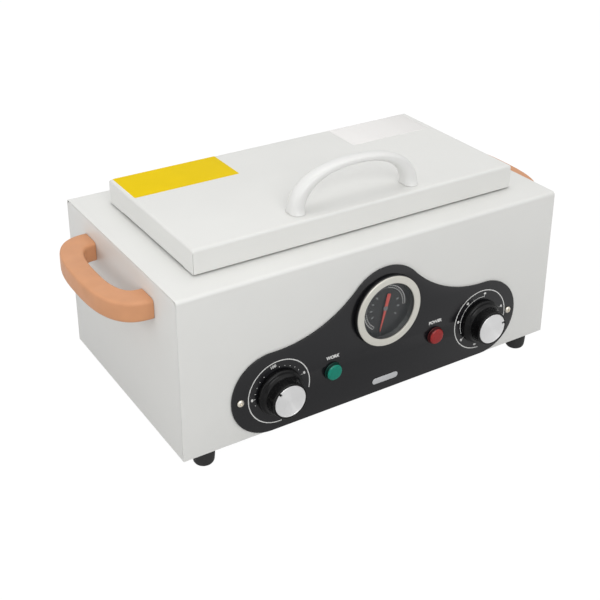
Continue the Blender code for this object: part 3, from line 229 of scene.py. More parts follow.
# The lamps' side walls are darker copies of the lens colours: painted shade for the lens's shaded side.
GREEN_SHADED_WALL = Look("green_wall_painted_shade", (3, 52, 44), 0.3, Specular_IOR_Level=0.25).mottle(700, 0.08)
RED_SHADED_WALL = Look("red_wall_painted_shade", (66, 12, 14), 0.3, Specular_IOR_Level=0.25).mottle(700, 0.08)
DIAL = Look("dial_grey", (40, 41, 43), 0.25, Specular_IOR_Level=0.45)
DIAL.mottle(150, 0.02).bump(2500, 0.00002, 0.3)
NEEDLE = Look("needle_red", (214, 84, 76), 0.42).mottle(300, 0.03).bump(1500, 0.00002, 0.2)
PRINT = Look("white_print", (222, 222, 220), 0.5).mottle(400, 0.03).bump(2500, 0.00001, 0.3)
DIM_PRINT = Look("dim_print", (128, 129, 130), 0.55, Specular_IOR_Level=0.2)
DIM_PRINT.mottle(400, 0.03)
YELLOW = Look("yellow_film", (230, 198, 8), 0.5, Specular_IOR_Level=0.05)
YELLOW.mottle(40, 0.01).bump(900, 0.00002, 0.3)
PALE = Look("pale_film", (233, 231, 229), 0.26).mottle(30, 0.005).bump(900, 0.00002, 0.3)
SILVER = Look("badge_silver", (196, 197, 199), 0.36).mottle(90, 0.02).bump(1500, 0.00002, 0.3)
# The glass's grey base at a low alpha lays a faint, even veil over the dial: a painted reflection of the
# glass.
GLASS = Look("dial_glass", (120, 124, 124), 0.05, Alpha=0.08).vary_rough(60, 0.03, 0.06)


PRINT_OUT = 0.00001  # how far a print stands off its surface
PRINT_THICK = 0.00003
WORD_THICK = 0.00004


# ---- making and placing pieces -------------------------------------------------------------------
def place(obj, body, look, replaces=()):
    """Gives obj its look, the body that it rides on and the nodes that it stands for."""
    obj.data.materials.clear()
    obj.data.materials.append(look.material)
    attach(obj, body)
    if replaces:
        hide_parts(*replaces)
    return obj


def smooth(mesh, angle):
    mesh.shade_smooth()
    mesh.set_sharp_from_angle(angle=math.radians(angle))


def object_from(name, fill, at=None, angle=35):
    """An object whose mesh is what fill builds, placed by the matrix at."""
    mesh = bpy.data.meshes.new(name)
    bm = bmesh.new()
    fill(bm)
    bmesh.ops.remove_doubles(bm, verts=bm.verts, dist=1e-6)
    bmesh.ops.recalc_face_normals(bm, faces=bm.faces)
    bm.to_mesh(mesh)
    bm.free()
    smooth(mesh, angle)
    obj = bpy.data.objects.new(name, mesh)
    bpy.context.scene.collection.objects.link(obj)
    if at:
        obj.matrix_world = at
    bpy.context.view_layer.update()
    return obj


def baked(obj, angle=35):
    """Applies obj's modifiers, or turns a curve or text into a mesh."""
    bpy.context.view_layer.update()
    shown = obj.evaluated_get(bpy.context.evaluated_depsgraph_get())
    mesh = bpy.data.meshes.new_from_object(shown)
    bm = bmesh.new()
    bm.from_mesh(mesh)
    bmesh.ops.remove_doubles(bm, verts=bm.verts, dist=2e-6)
    bmesh.ops.dissolve_degenerate(bm, edges=bm.edges, dist=1e-6)
    bm.to_mesh(mesh)
    bm.free()
    name, world = obj.name, obj.matrix_world.copy()
    bpy.data.objects.remove(obj)
    made = bpy.data.objects.new(name, mesh)
    bpy.context.scene.collection.objects.link(made)
    made.matrix_world = world
    smooth(mesh, angle)
    return made


def bevelled(obj, width, segments=2, limit=40, angle=35):
    edge = obj.modifiers.new("edge", "BEVEL")
    edge.width = width
    edge.segments = segments
    edge.limit_method = "ANGLE"
    edge.angle_limit = math.radians(limit)
    edge.use_clamp_overlap = True
    return baked(obj, angle)


def cut(obj, *tools, operation="DIFFERENCE"):
    """Cuts the tools from obj, or joins them to it, and removes them."""
    for tool in tools:
        step = obj.modifiers.new("cut", "BOOLEAN")
        step.operation = operation
        step.object = tool
        step.solver = "EXACT"
    made = baked(obj)
    for tool in tools:
        bpy.data.objects.remove(tool)
    return made


def box(name, size, at):
    def fill(bm):
        bmesh.ops.create_cube(bm, size=1)
        bmesh.ops.scale(bm, vec=size, verts=bm.verts)

    return object_from(name, fill, Matrix.Translation(at) if isinstance(at, Vector) else at)


def turned(name, profile, at, steps=96, angle=30):
    """A turned shape about its own z from (radius, height) points; it closes on the axis or on itself."""

    def fill(bm):
        rings = []
        turns = [2 * math.pi * k / steps for k in range(steps)]
        for r, h in profile:
            if r == 0:
                rings.append([bm.verts.new((0, 0, h))])
            else:
                rings.append([bm.verts.new((r * math.cos(t), r * math.sin(t), h)) for t in turns])
        pairs = list(zip(rings, rings[1:]))
        if len(rings[0]) > 1:
            pairs.append((rings[-1], rings[0]))
        for first, second in pairs:
            for k in range(steps):
                corners = [first[k % len(first)], first[(k + 1) % len(first)]]
                corners += [second[(k + 1) % len(second)], second[k % len(second)]]
                unique = list(dict.fromkeys(corners))  # a point on the axis comes twice
                if len(unique) > 2:
                    bm.faces.new(unique)

    return object_from(name, fill, at, angle)


def eased(profile, radius, steps=4):
    """The profile with each of its corners rounded off."""
    made = [profile[0]]
    for before, corner, after in zip(profile, profile[1:], profile[2:]):
        a, b, c = Vector(before), Vector(corner), Vector(after)
        reach = min(radius, (a - b).length * 0.45, (c - b).length * 0.45)
        start, end = b + (a - b).normalized() * reach, b + (c - b).normalized() * reach
        for k in range(steps + 1):
            t = k / steps
            made.append(tuple((1 - t) ** 2 * start + 2 * t * (1 - t) * b + t * t * end))
    return made + [profile[-1]]


def arc(cx, cy, radius, start_deg, end_deg, steps):
    turns = [math.radians(start_deg + (end_deg - start_deg) * k / steps) for k in range(steps + 1)]
    return [(cx + radius * math.cos(t), cy + radius * math.sin(t)) for t in turns]


def circle(cx, cy, radius, steps=64):
    return arc(cx, cy, radius, 0, 360 * (steps - 1) / steps, steps - 1)


def rounded(half_x, half_y, radius, steps=8):
    """The outline of a rectangle with round corners, about the origin."""
    points = []
    for k, (sx, sy) in enumerate(((1, 1), (-1, 1), (-1, -1), (1, -1))):
        cx, cy = sx * (half_x - radius), sy * (half_y - radius)
        points += arc(cx, cy, radius, 90 * k, 90 * k + 90, steps)
    return points


def plate(name, outlines, thickness, at, edge=0.0, angle=35):
    """A flat plate from its own z = 0 up; the first outline is its edge and the rest are holes."""
    curve = bpy.data.curves.new(name, "CURVE")
    curve.dimensions = "2D"
    curve.fill_mode = "BOTH"
    curve.extrude = thickness / 2 - edge
    curve.bevel_depth = edge
    curve.bevel_resolution = 2
    curve.offset = -edge
    for points in outlines:
        spline = curve.splines.new("POLY")
        spline.points.add(len(points) - 1)
        for target, (x, y) in zip(spline.points, points):
            target.co = (x, y, 0, 1)
        spline.use_cyclic_u = True
    obj = bpy.data.objects.new(name, curve)
    bpy.context.scene.collection.objects.link(obj)
    obj.matrix_world = at @ Matrix.Translation((0, 0, thickness / 2))
    return baked(obj, angle)


def joined(name, objects):
    """One object from several, kept in the first one's frame."""
    first = objects[0]
    bm = bmesh.new()
    for obj in objects:
        mesh = obj.data.copy()
        mesh.transform(first.matrix_world.inverted() @ obj.matrix_world)
        bm.from_mesh(mesh)
    mesh = bpy.data.meshes.new(name)
    bm.to_mesh(mesh)
    bm.free()
    made = bpy.data.objects.new(name, mesh)
    bpy.context.scene.collection.objects.link(made)
    made.matrix_world = first.matrix_world.copy()
    for obj in objects:
        bpy.data.objects.remove(obj)
    smooth(mesh, 35)
    return made


def refined(node, body, look, edge=0.0, angle=35):
    """A copy of a CAD node with its corners eased and its round faces smooth."""
    obj = bpy.data.objects.new(node + "_finished", frame["nodes"][node].data.copy())
    bpy.context.scene.collection.objects.link(obj)
    obj = baked(obj, angle)
    if edge:
        obj = bevelled(obj, edge, 2, 30, angle)
    return place(obj, body, look, [node])


def words(name, text, size, at, body, look=PRINT, bold=0.0):
    """A printed word."""
    curve = bpy.data.curves.new(name, "FONT")
    curve.body = text
    curve.size = size
    curve.extrude = WORD_THICK / 2
    curve.offset = bold
    curve.align_x = "CENTER"
    curve.align_y = "CENTER"
    obj = bpy.data.objects.new(name, curve)
    bpy.context.scene.collection.objects.link(obj)
    obj.matrix_world = at
    return place(baked(obj), body, look)


# ---- case ----------------------------------------------------------------------------------------
SHEET = 0.001
SIDE_FRAME = Matrix(((0, 0, 1, 0), (1, 0, 0, CASE_Y), (0, 1, 0, 0), (0, 0, 0, 1)))
BEND_R = 0.0030
GAP = 0.0003  # kept between two pieces that touch


def arch_path(inset, radius, steps=8):
    """The case's section in y and z, from the front's lower edge over the top to the back's."""
    half, top = HALF_D - inset, TOP_Z - inset
    front = arc(-half + radius, top - radius, radius, 180, 90, steps)
    back = arc(half - radius, top - radius, radius, 90, 0, steps)
    return [(-half, BASE_Z)] + front + back + [(half, BASE_Z)]


def drill(name, node, radius, steps):
    """A cutter through the front wall, in line with a node."""
    reach = 0.01
    profile = [(0, reach), (radius, reach), (radius, -reach), (0, -reach)]
    return turned(name, profile, at_node(node), steps)


def make_case():
    outline = arch_path(0, BEND_R) + arch_path(SHEET, BEND_R - SHEET)[::-1]
    at = Matrix.Translation((-HALF_W, 0, 0)) @ SIDE_FRAME
    shell = plate("case_wrap", [outline], 2 * HALF_W, at, 0.00015)
    tank_low, tank_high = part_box("chamber_tank")
    rim, corner, depth = 0.0075, 0.0125, 0.01
    mouth = rounded(tank_high.x - rim, (tank_high.y - tank_low.y) / 2 - rim, corner)
    tools = [plate("mouth", [mouth], depth, Matrix.Translation((0, CASE_Y, TOP_Z - depth / 2)))]
    tools.append(drill("can_hole", "thermometer_can", CAN_HOLE_R, 64))
    tools += [drill("hole", node, radius, 32) for node, radius in PANEL_HOLES]
    inlet = middle("power_inlet")
    inlet_hole = (0.0306, 0.02, 0.0226)
    tools.append(box("inlet_hole", inlet_hole, Vector((inlet.x, CASE_HIGH.y, inlet.z))))
    place(cut(shell, *tools), "case", PAINT, ["case_shell"])
    side_inset, side_corner = SHEET + 0.00035, 0.0045
    panel = arch_path(side_inset, side_corner)
    for tag, x in (("left", -HALF_W), ("right", HALF_W - SHEET)):
        at = Matrix.Translation((x, 0, 0)) @ SIDE_FRAME
        side = plate(f"side_sheet_{tag}", [panel], SHEET, at, 0.0002)
        place(side, "case", PAINT, [f"side_panel_{tag}"])


def make_feet():
    for end in ("front", "back"):
        for side in ("left", "right"):
            node = f"foot_{end}_{side}"
            centre = middle(node)
            profile = [(0, 0), (0.0045, 0), (0.0068, 0.0002), (0.0083, 0.0022), (0.0088, 0.0070)]
            profile += [(0.0090, BASE_Z - GAP), (0, BASE_Z - GAP)]
            at = Matrix.Translation((centre.x, centre.y, 0))
            foot = turned(f"rubber_foot_{end}_{side}", eased(profile, 0.0012), at, 48)
            place(foot, "case", RUBBER, [node])


# ---- lid -----------------------------------------------------------------------------------------
def make_lid():
    """The lid's pan, with its four corner seams and a step at the front of each side."""
    half_x, half_y = LID_HIGH.x, (LID_HIGH.y - LID_LOW.y) / 2
    centre_y = (LID_HIGH.y + LID_LOW.y) / 2
    bend, corner, least_corner, inner_corner = 0.0024, 0.0016, 0.0004, 0.0007
    levels = [(0.0, LID_LOW.z)]
    for k in range(7):
        turn = math.radians(15 * k)
        levels.append((bend * (1 - math.cos(turn)), LID_HIGH.z - bend * (1 - math.sin(turn))))
    inner = [(0.0, LID_LOW.z), (0.0, LID_HIGH.z - 2 * SHEET), (SHEET, LID_HIGH.z - SHEET)]

    def fill(bm):
        rings = []
        for inset, z in levels:
            corner_r = max(corner - inset * 0.5, least_corner)
            outline = rounded(half_x - inset, half_y - inset, corner_r, 5)
            rings.append([bm.verts.new((x, y, z)) for x, y in outline])
        under = []
        for inset, z in inner:
            outline = rounded(half_x - SHEET - inset, half_y - SHEET - inset, inner_corner, 5)
            under.append([bm.verts.new((x, y, z)) for x, y in outline])
        for group in (rings, under, [rings[0], under[0]]):
            for first, second in zip(group, group[1:]):
                for k in range(len(first)):
                    j = (k + 1) % len(first)
                    bm.faces.new((first[k], first[j], second[j], second[k]))
        bm.faces.new(rings[-1])
        bm.faces.new(under[-1])

    lid = object_from("lid_pan", fill, Matrix.Translation((0, centre_y, 0)))
    height = LID_HIGH.z - LID_LOW.z
    seam = (0.006, 0.00032, height * 0.9)
    tab_start, tab_length = 0.016, 0.110
    tools = []
    for sx in (-1, 1):
        for sy in (-1, 1):
            x, y = sx * (half_x - GAP), centre_y + sy * (half_y - GAP)
            spot = Matrix.Translation((x, y, LID_LOW.z + height * 0.40))
            turn = Matrix.Rotation(math.radians(45 * sx * sy), 4, "Z")
            tools.append(box("seam", seam, spot @ turn))
        step = Vector((sx * half_x, LID_LOW.y + tab_start + tab_length / 2, LID_LOW.z))
        tools.append(box("tab", (0.004, tab_length, 0.0012), step))
    place(cut(lid, *tools), "lid", PAINT, ["lid_shell"])


def arch(name, outer, inner, width, section, at, rings=64, sides=40):
    """A bridge handle between two arches in its own xz plane, with its width across y.

    Each arch is half a super-ellipse, given by its half length, its height and its power, and so is
    the handle's own section, whose power is section.
    """
    crowd = 0.02  # crowds the rings towards the bends

    def arched(half, height, power, turn):
        c, s = math.cos(turn), math.sin(turn)
        return -math.copysign(abs(c) ** (2 / power), c) * half, max(s, 0.0) ** (2 / power) * height

    def fill(bm):
        made = []
        for i in range(rings + 1):
            share = i / rings
            turn = math.pi * (share - math.sin(4 * math.pi * share) * crowd)
            ox, oz = arched(*outer, turn)
            ix, iz = arched(*inner, turn)
            half = width(1 - abs(2 * share - 1)) / 2
            ring = []
            for k in range(sides):
                angle = 2 * math.pi * (k + 0.5) / sides
                c, s = math.cos(angle), math.sin(angle)
                across = math.copysign(abs(c) ** (2 / section), c)
                through = math.copysign(abs(s) ** (2 / section), s)
                x = (ox + ix) / 2 + (ox - ix) / 2 * through
                z = (oz + iz) / 2 + (oz - iz) / 2 * through
                ring.append(bm.verts.new((x, half * across, z)))
            made.append(ring)
        for first, second in zip(made, made[1:]):
            for k in range(sides):
                j = (k + 1) % sides
                bm.faces.new((first[k], first[j], second[j], second[k]))
        bm.faces.new(made[0])
        bm.faces.new(made[-1])

    return object_from(name, fill, at, 60)


# each arch's half length, height and power
LID_GRIP_OUTER = (0.061, 0.0359, 2.3)
LID_GRIP_INNER = (0.048, 0.0295, 2.2)
SIDE_GRIP_OUTER = (0.0655, 0.0354, 2.7)
SIDE_GRIP_INNER = (0.043, 0.0175, 2.8)


def lid_grip_width(share):
    """The lid handle's width from a foot, at 0, to its middle, at 1, with a flare at the foot."""
    least, foot, flare, flare_end = 0.0125, 0.0035, 0.0028, 0.09
    return least + foot * (1 - share) ** 2 + max(0.0, 1 - share / flare_end) ** 2 * flare


def side_grip_width(_share):
    """A side handle is as wide all along."""
    return 0.017


def make_handles():
    foot_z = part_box("lid_handle")[0].z
    centre = middle("lid_handle")
    at = Matrix.Translation((0, centre.y, foot_z))
    handle = arch("lid_grip", LID_GRIP_OUTER, LID_GRIP_INNER, lid_grip_width, 2.4, at)
    place(handle, "lid", WHITE, ["lid_handle"])
    for tag, side in (("left", -1), ("right", 1)):
        centre = middle(f"side_handle_{tag}")
        root = side * (HALF_W + GAP)
        at = Matrix(((0, 0, side, root), (1, 0, 0, centre.y), (0, side, 0, centre.z), (0, 0, 0, 1)))
        handle = arch(f"side_grip_{tag}", SIDE_GRIP_OUTER, SIDE_GRIP_INNER, side_grip_width, 7.0, at)
        place(handle, "case", TAN, [f"side_handle_{tag}"])


def make_labels():
    """The lid's two stickers, bare; their edges are measured from the lid's left front corner."""
    left, front = LID_LOW.x, LID_LOW.y
    for name, look, x0, x1, y0, y1 in (
        ("yellow_label", YELLOW, 0.003, 0.098, 0.106, 0.1505),
        ("pale_label", PALE, 0.216, 0.299, 0.108, 0.150),
    ):
        outline = [
            (x + left + (x0 + x1) / 2, y + front + (y0 + y1) / 2)
            for x, y in rounded((x1 - x0) / 2, (y1 - y0) / 2, 0.0012)
        ]
        label = plate(name, [outline], 0.00012, Matrix.Translation((0, 0, LID_HIGH.z)), 0.00003)
        place(label, "lid", look)


# ---- front panel ---------------------------------------------------------------------------------
PANEL_X = 0.0031  # the controls' middle line
LOBE_SHIFT = -0.0015
# x, z and radius of each round end, with x from the middle, and of the bump
LOBE = (0.1055, BASE_Z + 0.0358, 0.0352)
BUMP = (PANEL_X - 0.0003, BASE_Z + 0.0768, 0.0385)
SHOULDER_R = 0.102
SCREW_HOLE_R = 0.0021


def fascia_outline():
    """Two round ends and a bump for the thermometer, joined by hollow shoulders."""
    shoulder_z = LOBE[1] + LOBE[2] + SHOULDER_R
    drop = shoulder_z - BUMP[1]
    shoulder_x = math.sqrt((SHOULDER_R + BUMP[2]) ** 2 - drop**2)
    meet = math.degrees(math.atan2(-drop, shoulder_x))
    shoulder = arc(BUMP[0] - shoulder_x, shoulder_z, SHOULDER_R, -90, meet, 24)
    bump = arc(BUMP[0], BUMP[1], BUMP[2], 180 + meet, -meet, 48)
    centre = PANEL_X + LOBE_SHIFT
    left = arc(centre - LOBE[0], LOBE[1], LOBE[2], 270, 90, 48)
    right = arc(centre + LOBE[0], LOBE[1], LOBE[2], 90, -90, 48)
    return left + shoulder + bump[1:-1] + [(2 * BUMP[0] - x, z) for x, z in reversed(shoulder)] + right


def make_fascia():
    outlines = [fascia_outline()]
    holes = [("thermometer_can", CAN_HOLE_R)] + PANEL_HOLES
    holes += [("fascia_screw_left", SCREW_HOLE_R), ("fascia_screw_right", SCREW_HOLE_R)]
    for node, radius in holes:
        centre = middle(node)
        outlines.append(circle(centre.x, centre.z, radius))
    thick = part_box("control_fascia")[1].y - PANEL_Y
    fascia = plate("fascia_plate", outlines, thick, on_panel(0, 0, -thick), 0.0003)
    place(fascia, "case", FASCIA, ["control_fascia"])
    for tag, twist in (("left", 28), ("right", 8)):
        node = f"fascia_screw_{tag}"
        at = at_node(node) @ Matrix.Rotation(math.radians(twist), 4, "Z")
        top, shank = 0.0019, 0.0018
        profile = [(0, top), (0.0018, 0.00175), (0.0027, 0.0011), (0.0030, GAP), (shank, GAP)]
        profile += [(shank, -0.0075), (0, -0.008)]
        head = turned(f"panel_screw_{tag}", eased(profile, 0.0003), at, 48)
        long, wide, deep = 0.0032, 0.0007, 0.0024
        spot = at @ Matrix.Translation((0, 0, top))
        cross = [box("cross", (long, wide, deep), spot), box("cross", (wide, long, deep), spot)]
        place(cut(head, *cross), "case", NICKEL, [node])


def print_ring(name, at, radius, width, start, end, ticks=(), look=PRINT, steps=72):
    """A printed arc line, with tick marks of (angle, inner radius, outer radius, width)."""
    outer = arc(0, 0, radius + width / 2, start, end, steps)
    inner = arc(0, 0, radius - width / 2, end, start, steps)
    pieces = [plate(name, [outer + inner], PRINT_THICK, at)]
    for angle, low, high, thick in ticks:
        turn = at @ Matrix.Rotation(math.radians(angle), 4, "Z")
        mark = [(low, -thick / 2), (high, -thick / 2), (high, thick / 2), (low, thick / 2)]
        pieces.append(plate("tick", [mark], PRINT_THICK, turn))
    return place(joined(name, pieces), "case", look)


SCALE_R = 0.0275
SCALE_LINE = 0.0008
MARK_R = 0.0243
LEADER_R = 0.0222
TIMER_RING_UP = 0.0014  # the timer's print is set a little high


def make_dials():
    """The prints round the two controls, with a plain dash for each figure but the 100."""
    left = at_node("thermostat_knob", PRINT_OUT)
    right = at_node("timer_knob", PRINT_OUT) @ Matrix.Translation((0, TIMER_RING_UP, 0))
    dots = [(a, 0.0218, 0.0224, 0.0006) for a in (195, 168, 154, 141, 128, 90, 77, 64, 51, 38)]
    print_ring("thermostat_scale", left, SCALE_R, SCALE_LINE, -12, 274, ticks=dots)
    marks = [(81 + 15 * k, 0.0208, 0.0222, 0.0003) for k in range(9)]
    print_ring("timer_scale", right, SCALE_R, SCALE_LINE, -12, 270, ticks=marks)
    print_ring("timer_inner_line", right, 0.0215, 0.0004, 81, 200)
    for name, at, places in (
        ("thermostat", left, (180, 22)),
        ("timer", right, (14, 81, 127, 170, 217, 261)),
    ):
        marks = [dial_mark(f"{name}_mark", at, MARK_R, angle, 0.0026, 0.0018) for angle in places]
        marks += [dial_mark(f"{name}_leader", at, LEADER_R, angle, 0.0005, 0.0018) for angle in places]
        place(joined(f"{name}_marks", marks), "case", PRINT)
    turn, lean = math.radians(103), math.radians(13)
    spot = left @ Matrix.Translation((MARK_R * math.cos(turn), MARK_R * math.sin(turn), 0))
    spot = spot @ Matrix.Rotation(lean, 4, "Z")
    words("thermostat_number_100", "100", 0.0036, spot, "case", bold=0.0001)


def dial_mark(name, at, radius, angle, along, across):
    """A short plain dash where the dial carries a figure."""
    turn = at @ Matrix.Rotation(math.radians(angle), 4, "Z")
    outline = [(x + radius, y) for x, y in rounded(across / 2, along / 2, across * 0.45, 4)]
    return plate(name, [outline], PRINT_THICK, turn)


KNOB_TOP = 0.0168
KNOB_SKIRT_R = 0.0200
KNOB_UNDERSIDE = 0.0006
SHAFT_SOCKET_R = 0.0032
SHAFT_SOCKET_TOP = 0.0128
CAP_R = 0.0135


def make_knobs():
    """Each knob with its cap in a recess; the angle is its notch's at rest."""
    for name, angle, body in (("thermostat", 135, "thermostat_control"), ("timer", 12, "timer_control")):
        at = at_node(f"{name}_knob")
        profile = [(0, 0.0156), (0.0136, 0.0156), (0.0136, KNOB_TOP), (0.0150, KNOB_TOP)]
        profile += [(0.0153, 0.0154), (0.0160, 0.0075), (0.0176, 0.0052), (0.0192, 0.0046)]
        profile += [(KNOB_SKIRT_R, 0.0034), (KNOB_SKIRT_R, KNOB_UNDERSIDE), (0.0190, KNOB_UNDERSIDE)]
        profile += [(0.0185, 0.0030), (0.0056, 0.0040), (SHAFT_SOCKET_R, 0.0040)]
        profile += [(SHAFT_SOCKET_R, SHAFT_SOCKET_TOP), (0, SHAFT_SOCKET_TOP)]
        knob = turned(f"{name}_grip", eased(profile, 0.0006), at, 120)
        place(knob, body, KNOB, [f"{name}_knob"])
        profile = [(0, 0.0166), (0.0125, 0.0166), (0.0128, KNOB_TOP), (0.0133, KNOB_TOP)]
        profile += [(CAP_R, 0.0165), (CAP_R, 0.0159), (0, 0.0159)]
        cap = turned(f"{name}_cap", eased(profile, 0.0001, 2), at, 120)
        turn = at @ Matrix.Rotation(math.radians(angle), 4, "Z")
        notch = box("notch", (0.0034, 0.0019, 0.003), turn @ Matrix.Translation((0.0126, 0, 0.0166)))
        place(cut(cap, notch), body, CAP, [f"{name}_knob_cap"])


def make_lamps():
    """Each lens as a bright dome in its wall; the wall is a darker copy of the lens colour, painted shade
    for the lens's side.
    """
    for name, look, shaded_wall_look, slot in (
        ("work_lamp", GREEN, GREEN_SHADED_WALL, "green_lens"),
        ("power_lamp", RED, RED_SHADED_WALL, "red_lens"),
    ):
        at = at_node(f"{name}_lens")
        profile = [(0, 0.0044), (0.0046, 0.0043), (0.0060, 0.0040), (0.0070, 0.0031)]
        profile += [(0.0060, 0.0026), (0, 0.0026)]
        lens = turned(f"{name}_dome", eased(profile, 0.0005), at, 64)
        place(lens, "case", look)
        rim, flange, neck, foot = 0.0074, 0.0078, 0.0056, -0.0078
        profile = [(0, 0.0025), (0.0061, 0.0025), (0.0072, 0.0030), (rim, 0.0022), (rim, 0.0012)]
        profile += [(flange, 0.0010), (flange, GAP), (neck, GAP), (neck, foot), (0, foot)]
        wall = turned(f"{name}_wall", eased(profile, 0.0003), at, 64)
        place(wall, "case", shaded_wall_look, [f"{name}_lens"])


DIAL_FACE = -0.0025
DIAL_THICK = 0.0008
GLASS_THICK = 0.0008
SCALE_STEP = 6.5


def make_thermometer():
    """The bezel, the can, the glass, the dial with its prints, and the needle."""
    at = at_node("thermometer_dial")
    inner, outer, top, back = 0.0247, 0.0307, 0.0046, 0.0034
    profile = [(inner, 0.0043), (0.0252, top), (0.0302, top), (outer, 0.0042), (outer, back), (inner, back)]
    ring = turned("bezel_ring", profile, at, 160)
    place(ring, "case", BEZEL, ["thermometer_bezel"])
    refined("thermometer_can", "case", BLACK, 0.0)
    glass_low, glass_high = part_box("thermometer_glass")
    top = PANEL_Y - glass_low.y
    back = top - GLASS_THICK
    radius = (glass_high.x - glass_low.x) / 2
    pane = turned("dial_pane", [(0, top), (radius, top), (radius, back), (0, back)], at, 96)
    place(pane, "case", GLASS, ["thermometer_glass"])
    radius, hole, back = 0.0255, 0.0012, DIAL_FACE - DIAL_THICK
    profile = [(radius, DIAL_FACE), (radius, back), (hole, back), (hole, DIAL_FACE)]
    place(turned("dial_face", profile, at, 96), "case", DIAL, ["thermometer_dial"])
    scale = at_node("thermometer_dial", DIAL_FACE + PRINT_OUT)
    for name, start, end, look in (
        ("low", 184, 236, PRINT),
        ("middle", 80, 184, DIM_PRINT),
        ("high", -4, 80, PRINT),
    ):
        count = round((end - start) / SCALE_STEP)
        ticks = [(start + SCALE_STEP * k, 0.0180, 0.0199, 0.0002) for k in range(count + 1)]
        print_ring(f"dial_scale_{name}_outer", scale, 0.0200, 0.00045, start, end, ticks=ticks, look=look)
        print_ring(f"dial_scale_{name}_inner", scale, 0.0178, 0.0003, start, end, look=look)
    angles = (205, 178, 152, 126, 22, -7, -37)
    marks = [dial_mark("dial_mark", scale, 0.0134, angle, 0.0015, 0.0030) for angle in angles]
    place(joined("dial_marks", marks), "case", DIM_PRINT)
    make_needle(at)


def make_needle(at):
    """The pointer with its pin, and a dull hub over it."""
    angle, clear = math.radians(256), 0.0009
    turn = at @ Matrix.Rotation(angle, 4, "Z") @ Matrix.Translation((0, 0, DIAL_FACE + clear))
    half = [(0.0205, 0.0002), (0.0160, 0.0006), (0, 0.0013), (-0.0060, 0.0016)]
    half += [(-0.0122, 0.0018), (-0.0130, 0.0012)]
    outline = half + [(x, -y) for x, y in reversed(half)]
    arm = plate("needle", [outline], 0.0005, turn, 0.0001)
    dome = eased([(0, 0.0010), (0.0018, 0.0009), (0.0022, 0.0003), (0.0022, 0)], 0.0003)
    hub = turned("hub", dome, turn, 48)
    pin_r, pin_length = 0.0009, 0.0130
    pin = turned("pin", [(0, 0), (pin_r, 0), (pin_r, -pin_length), (0, -pin_length)], turn, 24)
    needle = joined("needle_arm", [arm, pin])
    place(needle, "needle", NEEDLE, ["thermometer_needle"])
    place(joined("needle_hub", [hub]), "needle", DIM_PRINT)


WORD_Z = BASE_Z + 0.0490
BADGE_Z = BASE_Z + 0.0112


def make_prints():
    """The word over each lamp, and the bare badge."""
    for tag, node, text in (("work", "work_lamp_lens", "WORK"), ("power", "power_lamp_lens", "POWER")):
        at = on_panel(middle(node).x, WORD_Z, PRINT_OUT)
        words(f"{tag}_word", text, 0.0038, at, "case", bold=0.0002)
    pill = rounded(0.0127, 0.0027, 0.00265)
    badge = plate("bare_badge", [pill], 0.0001, on_panel(PANEL_X + 0.0011, BADGE_Z), 0.00002)
    place(badge, "case", SILVER)


# ---- the rest of the CAD, finished ---------------------------------------------------------------
SLOT_LOOKS = {
    "painted_sheet": PAINT,
    "stainless": STEEL,
    "zinc_plate": ZINC,
    "black_rubber": RUBBER,
    "glass_wool": WOOL,
    "silicone_seal": SEAL,
    "black_plastic": BLACK,
    "contact_carrier": BRASS,
    "copper_tube": COPPER,
    "brown_wire": BROWN,
    "blue_wire": BLUE,
}
HINGE_EDGE = 0.00015


def finish_cad_nodes():
    """Copies each CAD node that still shows, with its material, and eases the hinges' edges."""
    body_of = {n: b for b, group in frame["record"]["behaviour"]["bodies"].items() for n in group}
    slot_of = {entry["node"]: entry["material_slot"] for entry in frame["record"]["subparts"]}
    for node in sorted(frame["nodes"]):
        if frame["nodes"][node].hide_render:
            continue
        slot = slot_of[node]
        edge = HINGE_EDGE if node.startswith("hinge_") else 0.0
        refined(node, body_of[node], SLOT_LOOKS[slot], edge)


# ---- studio --------------------------------------------------------------------------------------
CAMERA_ANGLES = (-32.527, 24.480, 0.345)  # azimuth, elevation and roll in degrees
CAMERA_FROM_CASE = Vector((-0.46701, -0.72386, 0.52705))  # from the middle of the case's underside


def make_camera():
    azimuth, elevation, roll = (math.radians(v) for v in CAMERA_ANGLES)
    level = math.cos(elevation)
    back = Vector((math.sin(azimuth) * level, -math.cos(azimuth) * level, math.sin(elevation)))
    right = Vector((math.cos(azimuth), math.sin(azimuth), 0))
    up = back.cross(right)
    across = math.cos(roll) * right + math.sin(roll) * up
    over = math.cos(roll) * up - math.sin(roll) * right
    data = bpy.data.cameras.new("camera")
    data.sensor_width = 36
    data.lens = 66.9
    data.shift_x = -0.0132
    data.shift_y = -0.1706
    data.clip_end = 50
    camera = bpy.data.objects.new("camera", data)
    bpy.context.scene.collection.objects.link(camera)
    spot = Matrix.Translation(CAMERA_FROM_CASE + Vector((0, CASE_Y, BASE_Z)))
    camera.matrix_world = spot @ Matrix((across, over, back)).transposed().to_4x4()
    bpy.context.scene.camera = camera


def make_light(name, at, size, energy, target=(0, 0, 0.08)):
    data = bpy.data.lights.new(name, "AREA")
    data.shape = "RECTANGLE"
    data.size, data.size_y = size
    data.energy = energy
    light = bpy.data.objects.new(name, data)
    bpy.context.scene.collection.objects.link(light)
    light.location = at
    light.rotation_euler = (Vector(target) - Vector(at)).to_track_quat("-Z", "Y").to_euler()


def new_node(nodes, kind, operation=None, **inputs):
    """A shader node with some of its inputs set."""
    node = nodes.new(f"ShaderNode{kind}")
    if operation:
        node.operation = operation
    for key, value in inputs.items():
        node.inputs[key.replace("_", " ")].default_value = value
    return node


def greater(nodes, links, first, second):
    most = new_node(nodes, "Math", "MAXIMUM")
    links.new(first, most.inputs[0])
    links.new(second, most.inputs[1])
    return most.outputs["Value"]


def mixed(nodes, links, share, first, second):
    """The second shader over the first by this share."""
    mix = nodes.new("ShaderNodeMixShader")
    links.new(share, mix.inputs["Fac"])
    links.new(first, mix.inputs[1])
    links.new(second, mix.inputs[2])
    return mix.outputs["Shader"]


